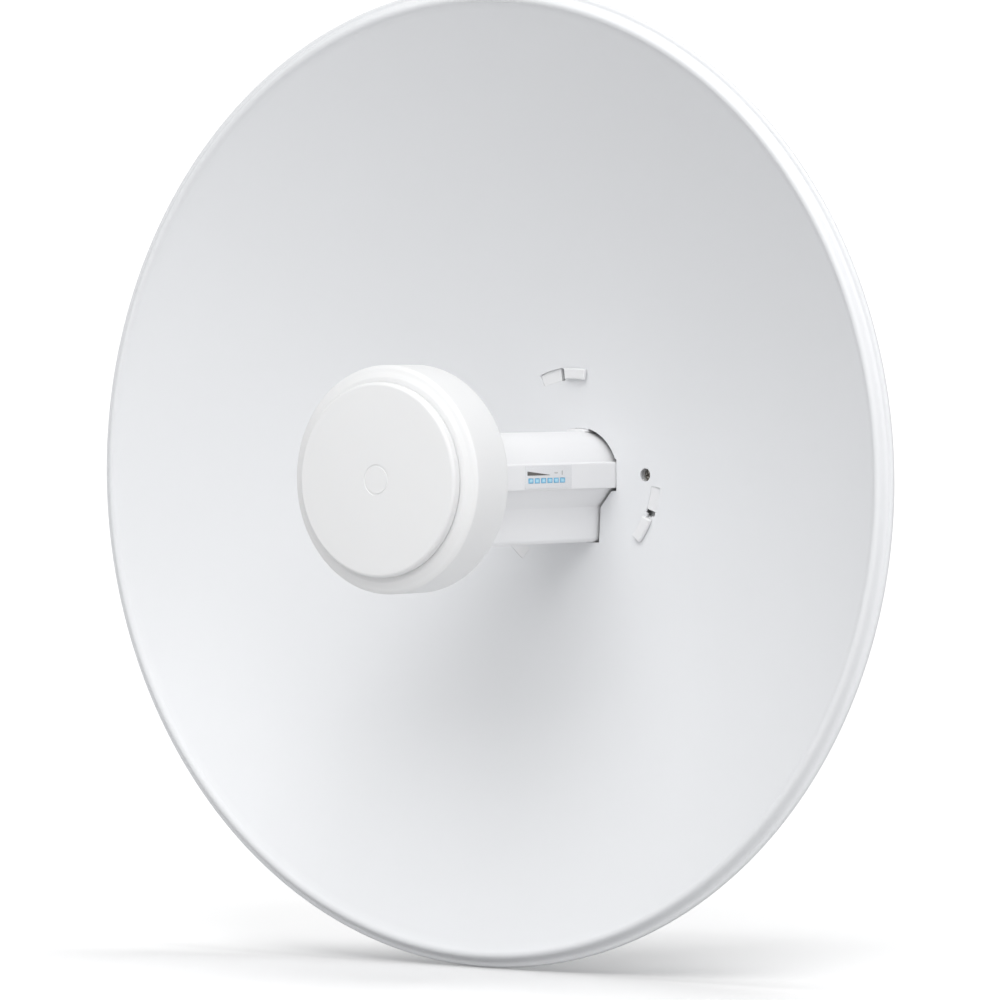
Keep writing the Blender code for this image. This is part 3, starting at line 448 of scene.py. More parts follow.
def spline(points, per):
    """Open Catmull-Rom curve through (a, b) points, with per steps between two points."""
    out = []
    last = len(points) - 1
    for i in range(last):
        p0, p1, p2, p3 = (points[min(last, max(0, i + k))] for k in (-1, 0, 1, 2))
        for k in range(per):
            t = k / per
            out.append(tuple(0.5 * ((2 * p1[c]) + (p2[c] - p0[c]) * t
                       + (2 * p0[c] - 5 * p1[c] + 4 * p2[c] - p3[c]) * t * t
                       + (3 * p1[c] - p0[c] - 3 * p2[c] + p3[c]) * t ** 3) for c in (0, 1)))
    out.append(points[-1])
    return out


def both(side, near, far):
    """Span from near to far on one side (-1 or 1) of the middle, low end first."""
    return tuple(sorted((side * near, side * far)))


# ================================================================== mesh helpers
# Places a point (a, b) of a cross-section at a height along an axis
AXES = {
    "X": lambda a, b, height: (height, a, b),
    "Y": lambda a, b, height: (a, height, b),
    "-Y": lambda a, b, height: (a, -height, b),
    "Z": lambda a, b, height: (a, b, height),
}


def new_object(verts, faces, name, mat):
    mesh = bpy.data.meshes.new(name)
    mesh.from_pydata([tuple(v) for v in verts], [], faces)
    mesh.validate()
    bm = bmesh.new()
    bm.from_mesh(mesh)
    bmesh.ops.recalc_face_normals(bm, faces=bm.faces)
    bm.to_mesh(mesh)
    bm.free()
    ob = bpy.data.objects.new(name, mesh)
    scene_root.objects.link(ob)
    if mat is not None:
        mesh.materials.append(mat)
    return ob


def settle(ob):
    """Applies every modifier of an object."""
    depsgraph = bpy.context.evaluated_depsgraph_get()
    mesh = bpy.data.meshes.new_from_object(ob.evaluated_get(depsgraph))
    ob.modifiers.clear()
    old = ob.data
    ob.data = mesh
    mesh.name = ob.name
    bpy.data.meshes.remove(old)


def boolean(ob, tools, operation):
    """Applies the tools to ob in turn and deletes them; ob keeps its own materials."""
    mats = list(ob.data.materials)
    for tool in tools:
        modifier = ob.modifiers.new("b", 'BOOLEAN')
        modifier.operation = operation
        modifier.solver = 'EXACT'
        modifier.object = tool
        settle(ob)
        mesh = tool.data
        bpy.data.objects.remove(tool, do_unlink=True)
        bpy.data.meshes.remove(mesh)
    ob.data.materials.clear()
    for mat in mats:
        ob.data.materials.append(mat)
    for face in ob.data.polygons:
        face.material_index = 0


def cut(ob, *tools):
    boolean(ob, tools, 'DIFFERENCE')


def join(ob, *tools):
    boolean(ob, tools, 'UNION')


def tube_faces(rings):
    """Quads between neighbouring rings of vertex numbers; doubled corners are dropped."""
    faces = []
    for a, b in zip(rings, rings[1:]):
        for i in range(len(a)):
            j = (i + 1) % len(a)
            face = tuple(dict.fromkeys((a[i], a[j], b[j], b[i])))
            if len(face) > 2:
                faces.append(face)
    return faces


def capped(count, levels):
    """Faces of a closed bar whose vertices are levels rings of count."""
    rings = [range(k * count, (k + 1) * count) for k in range(levels)]
    return tube_faces(rings) + [tuple(rings[0]), tuple(reversed(rings[-1]))]


def prism(loop, axis, levels, name="tool", mat=None):
    """Solid between levels [(height, inset)], each a copy of the loop inset by that much."""
    put = AXES[axis]
    verts = []
    for height, inset in levels:
        ring = offset(loop, -inset) if inset else loop
        verts += [Vector(put(a, b, height)) * MM for a, b in ring]
    return new_object(verts, capped(len(loop), len(levels)), name, mat)


def straight(lo, hi):
    return [(lo, 0), (hi, 0)]


def quarter_levels(lo, r, count):
    """Levels that round a prism's low end by r."""
    angles = [math.pi / 2 * (count - i) / count for i in range(count + 1)]
    return [(lo + r * (1 - math.sin(a)), r * (1 - math.cos(a))) for a in angles]


def edge_levels(lo, hi, r, count=3):
    """Levels for a prism whose two ends are rounded by r."""
    low_end = quarter_levels(lo, r, count)
    return low_end + [(hi - (t - lo), inset) for t, inset in reversed(low_end)]


def lathe(profile, seg, name="tool", mat=None, closed=True, axis="-Y", at=(0.0, 0.0)):
    """Turned solid. Profile of (radius, height along the axis); open ones end on the axis."""
    put = AXES[axis]
    verts, rings = [], []
    for r, height in profile:
        if r < 1e-6:
            rings.append([len(verts)] * seg)
            verts.append(Vector(put(*at, height)) * MM)
            continue
        rings.append(list(range(len(verts), len(verts) + seg)))
        for i in range(seg):
            a = 2 * math.pi * i / seg
            point = put(at[0] + r * math.cos(a), at[1] + r * math.sin(a), height)
            verts.append(Vector(point) * MM)
    if closed:
        rings.append(rings[0])
    return new_object(verts, tube_faces(rings), name, mat)


def box(x, y, z, name="tool", mat=None, r=0.0, seg=3):
    """Box over three spans, its edges rounded by r."""
    verts = [Vector((a, b, c)) * MM for c in z for b in y for a in x]
    faces = [(0, 1, 3, 2), (4, 6, 7, 5), (0, 4, 5, 1), (2, 3, 7, 6), (0, 2, 6, 4), (1, 5, 7, 3)]
    ob = new_object(verts, faces, name, mat)
    if r:
        bevel = ob.modifiers.new("edge", 'BEVEL')
        bevel.width = r * MM
        bevel.segments = seg
        bevel.limit_method = 'ANGLE'
        bevel.angle_limit = math.radians(35.0)
        bevel.use_clamp_overlap = True
        bevel.miter_outer = 'MITER_ARC'
        settle(ob)
    return ob


def rod(axis, at, r, lo, hi, seg=48):
    return lathe([(0, hi), (r, hi), (r, lo), (0, lo)], seg, closed=False, axis=axis, at=at)


def sealed(ob):
    """Merges doubled points and closes any gap a boolean left."""
    bm = bmesh.new()
    bm.from_mesh(ob.data)
    bmesh.ops.remove_doubles(bm, verts=bm.verts, dist=1e-7)
    gaps = [e for e in bm.edges if e.is_boundary]
    if gaps:
        bmesh.ops.holes_fill(bm, edges=gaps, sides=0)
        bmesh.ops.recalc_face_normals(bm, faces=bm.faces)
    bm.to_mesh(ob.data)
    bm.free()


def piece(ob, body, node=None, angle=32.0):
    """Finishes an object: shading, the body it rides on and the CAD node it replaces."""
    sealed(ob)
    ob.data.shade_smooth()
    ob.data.set_sharp_from_angle(angle=math.radians(angle))
    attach(ob, body)
    if node:
        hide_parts(node)


# ================================================================== tube's keyed outline
# Right half, bottom to top: x, z, corner radius
KEY_CORNERS = [(BOX_X, BOX_LOW, 2.2), (BOX_X, BOX_TOP, 1.0), (17.2, RIB_LOW - 0.25, 0.5),
               (RIB_X, RIB_LOW, 0.7), (RIB_X, RIB_HIGH, 0.8)]


def arc_start(height, r):
    """Degrees at which a circle of radius r stands at a height."""
    return math.degrees(math.asin(height / r))


def tube_loop():
    start = arc_start(RIB_HIGH, TUBE_R)
    right = KEY_CORNERS + [(TUBE_R * math.cos(math.radians(start)), RIB_HIGH, 0.35)]
    return rounded(right + arc(TUBE_R, start + 3.0, 177 - start, 60) + flipped(right))


def key_sides(gap):
    """The outline without its arc, pushed out: right corners upwards, left corners down."""
    right = [corner[:2] for corner in KEY_CORNERS]
    return offset(right + flipped(right), gap)


def keyed(gap):
    """The tube's outline pushed out by gap, with its arc and corners exact."""
    wide = key_sides(gap)
    r = TUBE_R + gap
    start = arc_start(RIB_HIGH + gap, r)
    return wide[:5] + arc(r, start, 180 - start, 60) + wide[5:]


def opening():
    """The dish's hole for the tube: close at the ribs, below the box and over the left half
    of the arc, wider beside the box and over the right half."""
    wide = key_sides(1.25)
    rib_x, rib_gap = RIB_X + 0.35, 1.3
    side = [(wide[0][0], BOX_LOW - 0.25), wide[1], wide[2], (rib_x, RIB_LOW - rib_gap),
            (rib_x, RIB_HIGH + rib_gap)]
    r = TUBE_R + 2.4
    start = arc_start(RIB_HIGH + rib_gap, r)
    shrinking = [polar(r - 0.5 * i / 22.0, 90 - start - (73.6 - start) * i / 22.0)
                 for i in range(23)]
    return (side + shrinking + arc(20.02, 74.2, 105.8, 10)
            + arc(TUBE_R + 0.5, 107.0, 180 - start, 24) + flipped(side))


# ================================================================== dish
# Rolled rim from the bowl's front face outwards and back: radius, reach beyond RIM_REACH
RIM_CURL = [
    (203.1, 3.45), (204.1, 3.90), (205.0, 3.85), (205.8, 3.35), (206.35, 2.5), (206.75, 1.6),
    (207.3, 0.75), (208.0, 0.35), (208.8, 0.35), (209.45, 0.15), (209.85, -0.3), (210.0, -0.9),
    (209.85, -1.5), (209.3, -1.95), (208.5, -2.00), (207.5, -1.65), (206.3, -1.05),
    (205.3, -0.2), (204.7, 0.8), (203.8, 1.7)]


def front_face(r):
    """Reach of the paraboloid's front at a radius."""
    return r * r / (4 * FOCAL)


def back_face(r):
    return front_face(r) - SHEET * math.sqrt(1 + (r / (2 * FOCAL)) ** 2)


def make_dish():
    inner_r, middle_r = 6.0, 62.0
    radii = [inner_r + (middle_r - inner_r) * i / 36 for i in range(37)]
    radii += [middle_r + (RIM_START - middle_r) * i / 56 for i in range(1, 57)]
    back_r = RIM_START + 0.4
    rim = spline([(RIM_START, front_face(RIM_START))]
                 + [(r, RIM_REACH + rise) for r, rise in RIM_CURL]
                 + [(back_r, back_face(back_r))], per=4)
    profile = [(r, front_face(r)) for r in radii] + rim[1:]
    profile += [(r, back_face(r)) for r in reversed(radii) if r < 201.5]
    dish = lathe(profile, 288, "dish_reflector", PAINT)
    cut(dish, prism(opening(), "Y", straight(-10, 10)))
    for clock in HOOK_CLOCKS:   # a wide slot for each hook's head, a narrow one for its stem
        cut(dish, prism(arc_outline(41.05, 46.55, clock - 25.0, clock - 8.6, 0.5), "Y",
                        straight(-12, 6)),
            prism(arc_outline(42.3, 45.3, clock - 10.0, clock + 5.2, 0.4), "Y",
                  straight(-12, 6)))
    cut(dish, rod("Y", SCREW_AT, 2.9, -10, 8))
    piece(dish, "dish_hub", "dish", angle=30)


# ================================================================== head
def make_front_cover():
    """Flat face, soft edge, short wall and a skirt that drops into the drum."""
    skirt_r, skirt_in, skirt_end, under = 39.2, 37.2, 133.0, 141.8
    profile = rounded([(0.0, DISC_REACH), (DISC_R, DISC_REACH, 1.6),
                       (DISC_R, LEDGE_REACH + 0.5, 0.2), (skirt_r, LEDGE_REACH + 0.4),
                       (skirt_r, skirt_end, 0.3), (skirt_in, skirt_end, 0.3),
                       (skirt_in, under, 0.8), (0.0, under)], closed=False, step=9.0)
    dense = []      # flat faces get a ring about every 3 mm
    for a, b in zip(profile, profile[1:]):
        dense.append(a)
        if abs(a[1] - b[1]) < 1e-6 and abs(a[0] - b[0]) > 6:
            count = int(abs(a[0] - b[0]) / 3)
            dense += [(a[0] + (b[0] - a[0]) * i / count, a[1]) for i in range(1, count)]
    dense.append(profile[-1])
    cover = lathe(dense, 192, "front_cover_disc", HEAD, closed=False)
    groove = DISC_REACH - 0.28
    cut(cover, lathe(rounded([(5.6, DISC_REACH + 1, 0), (5.6, groove, 0.1), (6.6, groove, 0.1),
                              (6.6, DISC_REACH + 1, 0)], step=30.0), 96))
    piece(cover, "feed", "front_cover", angle=28)


def make_drum():
    """Ledge, cove, rounded shoulder, straight side, rounded back and a plain neck."""
    ledge = LEDGE_REACH
    profile = rounded([(0.0, 117.3), (44.6, 117.4, 1.2), (46.0, 119.4, 0.8),
                       (46.0, ledge - 3.6, 0.8), (44.0, ledge - 2.6, 0.3),
                       (39.7, ledge - 2.3, 0.2), (39.7, ledge + 0.1, 0.2), (43.2, ledge, 1.5),
                       (45.3, ledge - 1.2, 1.4), (46.7, ledge - 1.7, 0.9),
                       (DRUM_R, ledge - 2.7, 1.2), (DRUM_R, DRUM_BACK, 3.0),
                       (0.0, DRUM_BACK)], closed=False, step=9.0)
    drum = lathe(profile, 192, "drum_body", HEAD, closed=False)
    join(drum, prism(keyed(3.2), "Y", [(-116.6, 0), (-110.3, 0), (-109.9, 0.2), (-109.6, 0.5),
                                       (-109.5, 0.9)]))
    cut(drum, prism(keyed(0.3), "Y", straight(-130, -100)))
    piece(drum, "feed", "drum_shell", angle=28)


# ================================================================== feed tube
TUBE_FRONT, TUBE_END = -119.0, 46.2     # y; the end's rounding lies beyond TUBE_END
# Rails inside the tube: side, y span
TUBE_RAILS = [(-1, (-112, 43.5)), (1, (-112, -75)), (1, (-25, 43.5))]
WINDOW_YS = [-(WINDOW_FIRST + WINDOW_PITCH * i) for i in range(WINDOWS)]


def window_spans(y, gap):
    """y span and z span of a window, grown by gap all round."""
    return ((y - WINDOW_W / 2 - gap, y + WINDOW_W / 2 + gap),
            (WINDOW_Z - WINDOW_H / 2 - gap, WINDOW_Z + WINDOW_H / 2 + gap))


def make_tube():
    levels = [(TUBE_FRONT + (TUBE_END - TUBE_FRONT) * i / 24, 0.0) for i in range(25)]
    levels += [(46.5, 0.12), (46.7, 0.45)]
    tube = prism(tube_loop(), "Y", levels, "feed_tube_body", BODY)
    pad_arc = arc(19.85, 74.6, 105.4, 8)
    pad_top = [(*p, 0.5 if i in (0, 8) else 0.0) for i, p in enumerate(pad_arc)]
    pad = prism(rounded(pad_top + [(-4.6, 16.5, 0), (4.6, 16.5, 0)], step=20.0), "Y",
                [(-2.4, 0.36), (-2.3, 0.15), (-2.0, 0.0), (7.6, 0.0), (7.9, 0.18), (8.0, 0.42)])
    join(tube, pad, prism(keyed(3.0), "Y", straight(-119.2, -117.6)))
    cavity = [(8.4, -26.8), (8.4, -13.35), (15.4, -4.5)]
    cavity = cavity + arc(16.4, -14, 194, 48) + flipped(cavity)
    label_y = (LABEL_Y[0] - 0.06, LABEL_Y[1] + 0.06)
    cut(tube, prism(cavity, "Y", straight(-125, 44.6)), box((20.05, 22), label_y, (-5.16, 4.86)))
    for y in WINDOW_YS:
        cut(tube, box((14.5, 22.5), *window_spans(y, 0.15)))
    # notch, rounded opening and round hole through the bottom wall
    cut(tube, box((-6, 6), (13.4, 18.6), (-32, -28.0)),
        box((-6.4, 6.4), (33.0, 42.8), (-32, -25), r=0.6),
        rod("Z", (0, 25.5), 2.0, -32, -25, seg=32))
    for side, y in TUBE_RAILS:
        for z in ((-4.6, -3.5), (-1.3, -0.3)):
            join(tube, box(both(side, 12.4, 17.2), y, z))
    piece(tube, "feed", "feed_tube", angle=28)


def make_label():
    label = prism(rounded_box(LABEL_Y, (-5.1, 4.8), 0.6, step=15.0), "X",
                  [(20.1, 0), (20.34, 0), (20.42, 0.05), (20.45, 0.14)], "status_plate", LABEL)
    for y in WINDOW_YS:
        cut(label, prism(rounded_box(*window_spans(y, 0.05), 0.3, step=30), "X",
                         straight(19, 22)))
    piece(label, "feed", "status_label", angle=40)


def make_light_pipe():
    """A bar inside the tube with a finger in each window."""
    bar = box((13.9, 15.9), (-65.4, -37.0), (-3.7, -0.7), "light_guide", LIGHTS, r=0.15, seg=2)
    for y in WINDOW_YS:
        join(bar, box((15.0, 20.5), *window_spans(y, -0.02), r=0.18, seg=2))
    piece(bar, "feed", "light_pipe", angle=40)


def make_marks():
    """Printed marks on the label: a wedge and two small bars."""
    wedge = rounded([(-65.2, 0.65, 0.1), (-49.2, 0.65, 0.0), (-49.2, 0.80, 0.0),
                     (-65.2, 2.45, 0.12)], step=30)
    piece(prism(wedge, "X", straight(20.43, 20.53), "mark_wedge", INK), "feed", angle=40)
    middle_z = 1.55
    for i, (y, width, height) in enumerate(((-44.6, 2.4, 0.5), (-40.2, 0.6, 1.9)), 1):
        loop = rounded_box((y - width / 2, y + width / 2),
                           (middle_z - height / 2, middle_z + height / 2), 0.2, step=30)
        piece(prism(loop, "X", straight(20.43, 20.52), f"mark_{i}", INK_PALE), "feed", angle=40)


# ================================================================== hub behind the dish
def add_hook(hub, clock):
    """Stem and head through the dish's slots, a pad in the wide slot and a notch between."""
    lower_left = clock > 200
    stem = prism(arc_outline(42.6, 45.0, clock - 6.4, clock + 4.4, 0.3), "Y",
                 straight(-5.0, 2.0))
    head = prism(arc_outline(41.45, 46.15, clock - 6.8, clock + 7.4, 0.8), "Y",
                 [(-5.75, 0.50), (-5.5, 0.14), (-5.0, 0.0), (-4.1, 0.0)])
    pad = prism(arc_outline(41.12, 46.42, clock - 24.85, clock - 11.2, 0.4), "Y",
                [(-6.0 if lower_left else -2.86, 0.0), (-1.0, 0.0), (1.0, 0.0)])
    if lower_left:      # this pad is trimmed to the dish's front face
        over = [(r, front_face(r) - 0.06) for r in (39.5, 41.0, 42.5, 44.0, 45.5, 47.5)]
        cut(pad, lathe(over + [(47.5, 9.0), (39.5, 9.0)], 160))
    join(hub, stem, head, pad)
    cut(hub, prism(arc_outline(38.5, 46.4, clock - 11.0, clock - 6.9, 0.3), "Y",
                   straight(-4.6, 1.4)))


def make_hub():
    def seat(r):    # just behind the dish
        return back_face(r) - 0.3

    floor_reach = -47.3
    profile = rounded([(0.0, floor_reach), (HUB_INNER_R, floor_reach, 1.0),
                       (HUB_INNER_R, seat(HUB_INNER_R), 0.2), (HUB_R, seat(HUB_R)),
                       (51.0, seat(51.0)), (FLANGE_R, seat(FLANGE_R), 0.8),
                       (FLANGE_R, 0.6, 1.6), (HUB_R, -2.3, 3.2), (43.2, -46.2, 0.0),
                       (43.0, -HUB_REAR, 3.4), (0.0, -HUB_REAR)], closed=False, step=9.0)
    hub = lathe(profile, 160, "hub_shell", HUB, closed=False)
    # sleeve round the tube, screw boss, and a web close behind the dish
    join(hub, prism(keyed(3.0), "Y", straight(18.8, 48.2)),
         rod("Y", SCREW_AT, 4.8, 0.2, 48.4, seg=40),
         rod("Y", (0, 0), HUB_INNER_R + 0.4, 3.6, 5.2, seg=160))
    for clock in HOOK_CLOCKS:
        add_hook(hub, clock)
    lug = hull(arc(9.5, 0, 360, 64, PIVOT_AT) + arc(6.3, 0, 360, 48, LOCK_AT)
               + [(48.6, 15.0), (48.6, -31.0)])
    join(hub, prism(lug, "X", edge_levels(-LUG_X, LUG_X, 0.9)))
    screw_hole = [(0, 6), (3.0, 6), (3.0, -2.8), (1.7, -2.9), (1.7, -15.5), (0, -15.5)]
    # tube's way and the clearance over its pad; latch button and port openings; bolt holes
    cut(hub, prism(keyed(0.6), "Y", straight(1.0, 47.1)),
        prism(arc_outline(17.5, 20.6, -20.5, 20.5, 0.2), "Y", straight(1.0, 8.4)),
        box((-8.4, 8.4), (11.6, 20.4), (34, 52)),
        box((-12.0, 12.0), (22.5, 46.0), (-50, -33.5)),
        box((-8.6, 8.6), (22.5, 45.2), (-36, -28)),
        rod("X", PIVOT_AT, 4.3, -15, 15, seg=40),
        rod("X", LOCK_AT, 3.3, -15, 15, seg=32),
        lathe(screw_hole, 40, closed=False, at=SCREW_AT))
    piece(hub, "dish_hub", "rear_housing", angle=30)


def make_lock_screw():
    """Pan head with a cross recess."""
    profile = rounded([(0.0, 0.1), (1.5, -0.02), (2.35, -0.75, 0.5), (2.6, -1.5, 0.3),
                       (2.6, -2.4, 0.1), (1.4, -2.4, 0.1), (1.4, -13.4, 0.0), (0.5, -14.6),
                       (0.0, -14.6)], closed=False)
    screw = lathe(profile, 48, "lock_screw_pan", SCREW, closed=False, at=SCREW_AT)
    length, half, turn = 1.5, 0.32, 0.5     # arm length, half width; turn in radians
    arm = [(length, -half), (length, half), (half, half, 0.2)]
    cross = []
    for _ in range(4):
        cross += arm
        arm = [(-p[1], p[0], *p[2:]) for p in arm]
    x, z = SCREW_AT
    cos, sin = math.cos(turn), math.sin(turn)
    cross = [(x + a * cos - b * sin, z + a * sin + b * cos) for a, b in rounded(cross, step=20)]
    cut(screw, prism(cross, "Y", [(-1, -0.1), (0.0, -0.05), (1.4, 0.12)]))
    piece(screw, "dish_hub", "lock_screw", angle=35)


# ================================================================== release latch
# Right halves of the yoke, bottom to top: x, z, corner radius
YOKE_OUTER = [(14.5, -34.6, 1.2), (16.0, -33.0, 1.2), (16.5, -17.5, 2.0), (25.5, -8.0, 3.0),
              (25.5, 24.0, 5.0), (8.0, 32.0, 3.0), (7.6, 41.0, 0.2)]
YOKE_INNER = [(11.5, -30.2, 0.6), (11.5, -15.6, 1.0), (18.1, -7.2, 1.0), (21.2, -7.2, 0.8),
              (21.2, 9.5, 1.0), (19.0, 15.0, 2.0), (13.0, 20.5, 3.0), (0.0, 23.2, 6.0)]


def make_latch():
    """A yoke round the tube with a grooved button on top and a tooth below."""
    yoke = prism(rounded(YOKE_OUTER + flipped(YOKE_OUTER)), "Y",
                 edge_levels(14.0, 18.0, 0.5, count=2), "latch_yoke", BUTTON)
    cut(yoke, prism(rounded(YOKE_INNER + flipped(YOKE_INNER)), "Y", straight(10, 22)))
    join(yoke, prism(rounded_box((-8.0, 8.0), (12.0, 20.0), 1.3, step=12.0), "Z",
                     [(38.6, 0.0), (46.3, 0.0), (46.95, 0.16), (47.35, 0.5), (47.5, 0.95)]),
         box((-5.4, 5.4), (14.3, 17.7), (-31.0, -29.75)))
    for i in range(4):
        y = 13.9 + 1.4 * i
        groove = rounded([(y - 0.35, 47.0, 0.1), (y + 0.35, 47.0, 0.1), (y + 0.45, 48.5),
                          (y - 0.45, 48.5)], step=30)
        cut(yoke, prism(groove, "X", straight(-5.6, 5.6)))
    piece(yoke, "latch", "release_latch", angle=35)


# ================================================================== port cover and grommet
COVER_LOW, COVER_R = -66.0, 3.0     # z of the bottom and rounding of its edge
CABLE_AT = (0.0, 38.0)              # x, y of the cable hole


def make_cover():
    levels = quarter_levels(COVER_LOW, COVER_R, 6)
    levels += [(COVER_LOW + COVER_R + 27.0 * i / 8, 0.0) for i in range(1, 9)]
    cover = prism(rounded_box((-15.0, 15.0), (21.0, 49.4), 4.5, step=8.0), "Z", levels,
                  "port_hood", HUB)
    cut(cover, prism(rounded_box((-13.0, 13.0), (23.0, 47.4), 3.0, step=12.0), "Z",
                     [(-64.0, 1.0), (-63.0, 0.2), (-62.0, 0), (-20.0, 0)]),
        rod("Y", (0, 0), HUB_R + 0.42, 10, 60, seg=160),
        rod("Z", CABLE_AT, 6.3, -70, -60))
    for side in (-1, 1):    # a foot and an upright tab on each side wall
        join(cover, box(both(side, 10.2, 13.6), (26.0, 43.0), (-48.0, -44.8)),
             box(both(side, 10.2, 11.6), (26.0, 43.0), (-46.0, -34.4), r=0.3, seg=2))
    for i in range(5):      # finger grooves on the front wall
        z = -60.0 + 2.2 * i
        groove = rounded([(20.0, z), (21.35, z + 0.45, 0.2), (20.0, z + 0.9)], step=30)
        cut(cover, prism(groove, "X", straight(-7.5, 7.5)))
    piece(cover, "cover", "port_cover")


def make_grommet():
    profile = rounded([(3.2, -62.2, 0.5), (7.4, -62.2, 0.4), (8.0, -62.8, 0.4),
                       (8.0, -63.7, 0.2), (6.0, -63.7, 0.1), (6.0, -66.3, 0.1),
                       (8.2, -66.3, 0.2), (8.2, -67.2, 0.5), (7.3, -68.0, 0.5),
                       (4.6, -68.0, 0.4), (4.1, -67.5, 0.3), (3.2, -67.3, 0.4)], step=15.0)
    piece(lathe(profile, 72, "cable_seal", RUBBER, axis="Z", at=CABLE_AT),
          "cover", "cable_grommet", angle=35)


# ================================================================== fasteners
M8_CORNER, M6_CORNER = 7.5, 5.77    # corner radii of the hexagons


def thread_depth(depth, phase):
    """Depth of a rounded V thread at a phase along its pitch."""
    ridge = abs(phase % 1.0 - 0.5) * 2.0
    return depth * min(1.0, max(0.0, (ridge - 0.08) / 0.84))


def threaded_shank(path, r, pitch, threads, name, mat, seg=28, depth=0.55):
    """Round bar along a path of (centre, side, arc length), threaded over the spans of arc
    length in threads; both ends are chamfered."""
    up = Vector((0, 0, 1))
    end = path[-1][2]
    verts = []
    for centre, side, s in path:
        for i in range(seg):
            turn = i / seg
            radius = r
            for start, stop in threads:
                if start <= s <= stop:
                    fade = min(1.0, (s - start) / 0.8, (stop - s) / 0.8)
                    radius = r - thread_depth(depth, s / pitch + turn) * fade
            radius -= 0.5 * max(0.0, 1 - s / 0.6) + 0.5 * max(0.0, 1 - (end - s) / 0.6)
            angle = 2 * math.pi * turn
            point = centre + side * (radius * math.cos(angle)) + up * (radius * math.sin(angle))
            verts.append(point * MM)
    return new_object(verts, capped(seg, len(path)), name, mat)


def cross_path(at, lo, hi, step):
    """Straight path along x."""
    count = round((hi - lo) / step)
    xs = [lo + (hi - lo) * i / count for i in range(count + 1)]
    return [(Vector((x, *at)), Vector((0, 1, 0)), x - lo) for x in xs]


def hexagon(axis, at, corner, lo, hi, name="tool", mat=None, hole=0.0):
    """Hexagon nut or bolt head with its corners turned off."""
    angles = [math.radians(60 * i + 30) for i in range(6)]
    loop = [(at[0] + corner * math.cos(a), at[1] + corner * math.sin(a)) for a in angles]
    ob = prism(loop, axis, straight(lo, hi), name, mat)
    flat = corner * 0.866
    drop = (corner - flat) * 0.62
    turned = [(0, hi), (flat * 0.97, hi), (corner + 0.4, hi - drop), (corner + 0.4, lo + drop),
              (flat * 0.97, lo), (0, lo)]
    boolean(ob, [lathe(turned, 72, closed=False, axis=axis, at=at)], 'INTERSECT')
    if hole:
        wide = hole + 0.7   # the hole's mouth
        bore = [(0, hi + 1), (wide + 1, hi + 1), (wide, hi), (hole, hi - 0.7), (hole, lo + 0.7),
                (wide, lo), (wide + 1, lo - 1), (0, lo - 1)]
        cut(ob, lathe(bore, 48, closed=False, axis=axis, at=at))
    return ob


def washer(axis, at, r, hole, lo, hi, name):
    profile = rounded([(hole, hi, 0.15), (r, hi, 0.35), (r, lo, 0.2), (hole, lo, 0.15)],
                      step=20.0)
    return lathe(profile, 72, name, STEEL, axis=axis, at=at)


def make_u_bolt():
    """Two threaded legs and a half-circle bow."""
    fine_length, fine_step, thread = 33.0, 0.18, 32.0
    count = int(fine_length / fine_step)
    leg = [LEG_FRONT + fine_length * i / count for i in range(count + 1)] + [101.0, 105.5]
    path = [(Vector((-LEG_X, y, 0)), Vector((1, 0, 0)), y - LEG_FRONT) for y in leg]
    bow_start = BOW_Y - LEG_FRONT
    for i in range(61):
        a = math.pi - math.pi * i / 60
        path.append((Vector((LEG_X * math.cos(a), BOW_Y + LEG_X * math.sin(a), 0)),
                     Vector((-math.cos(a), -math.sin(a), 0)),
                     bow_start + LEG_X * math.pi * i / 60))
    bow_end = bow_start + LEG_X * math.pi
    path += [(Vector((LEG_X, y, 0)), Vector((-1, 0, 0)), bow_end + BOW_Y - y)
             for y in reversed(leg)]
    end = path[-1][2]
    bolt = threaded_shank(path, ROD_R, 1.25, [(0.0, thread), (end - thread, end)],
                          "clamp_bolt", STEEL_ROD)
    piece(bolt, "u_bolt_clamp", "u_bolt", angle=60)
    for side, word in ((-1, "left"), (1, "right")):
        at = (side * LEG_X, 0.0)
        piece(washer("Y", at, 8.0, 4.35, 82.1, 83.7, "plain_washer_" + word),
              "pole_mount", "u_washer_" + word, angle=35)
        piece(hexagon("Y", at, M8_CORNER, 75.3, 81.8, "hex_nut_" + word, STEEL, hole=4.35),
              "nut_" + word, "u_nut_" + word, angle=25)


def make_joint_bolts():
    """Pivot bolt and nut; lock bolt, washer and nut."""
    bolt = threaded_shank(cross_path(PIVOT_AT, -21.5, 13.6, 0.2), 4.0, 1.25, [(0.0, 12.0)],
                          "pivot_screw", STEEL)
    join(bolt, hexagon("X", PIVOT_AT, M8_CORNER, 12.9, 18.2))
    piece(bolt, "pole_mount", "pivot_bolt", angle=45)
    piece(hexagon("X", PIVOT_AT, M8_CORNER, -19.4, -12.9, "pivot_hex_nut", STEEL, hole=4.3),
          "pole_mount", "pivot_nut", angle=25)
    bolt = threaded_shank(cross_path(LOCK_AT, -23.5, 13.4, 0.16), 3.0, 1.0, [(0.0, 13.0)],
                          "lock_bolt_shank", STEEL, seg=24, depth=0.45)
    join(bolt, hexagon("X", LOCK_AT, M6_CORNER, 12.9, 16.9))
    piece(bolt, "dish_hub", "tilt_lock_bolt", angle=45)
    piece(washer("X", LOCK_AT, 6.2, 3.3, -14.1, -12.9, "lock_plain_washer"),
          "lock_washer", "tilt_lock_washer", angle=35)
    piece(hexagon("X", LOCK_AT, M6_CORNER, -19.4, -14.4, "lock_hex_nut", STEEL, hole=3.3),
          "lock_nut", "tilt_lock_nut", angle=25)


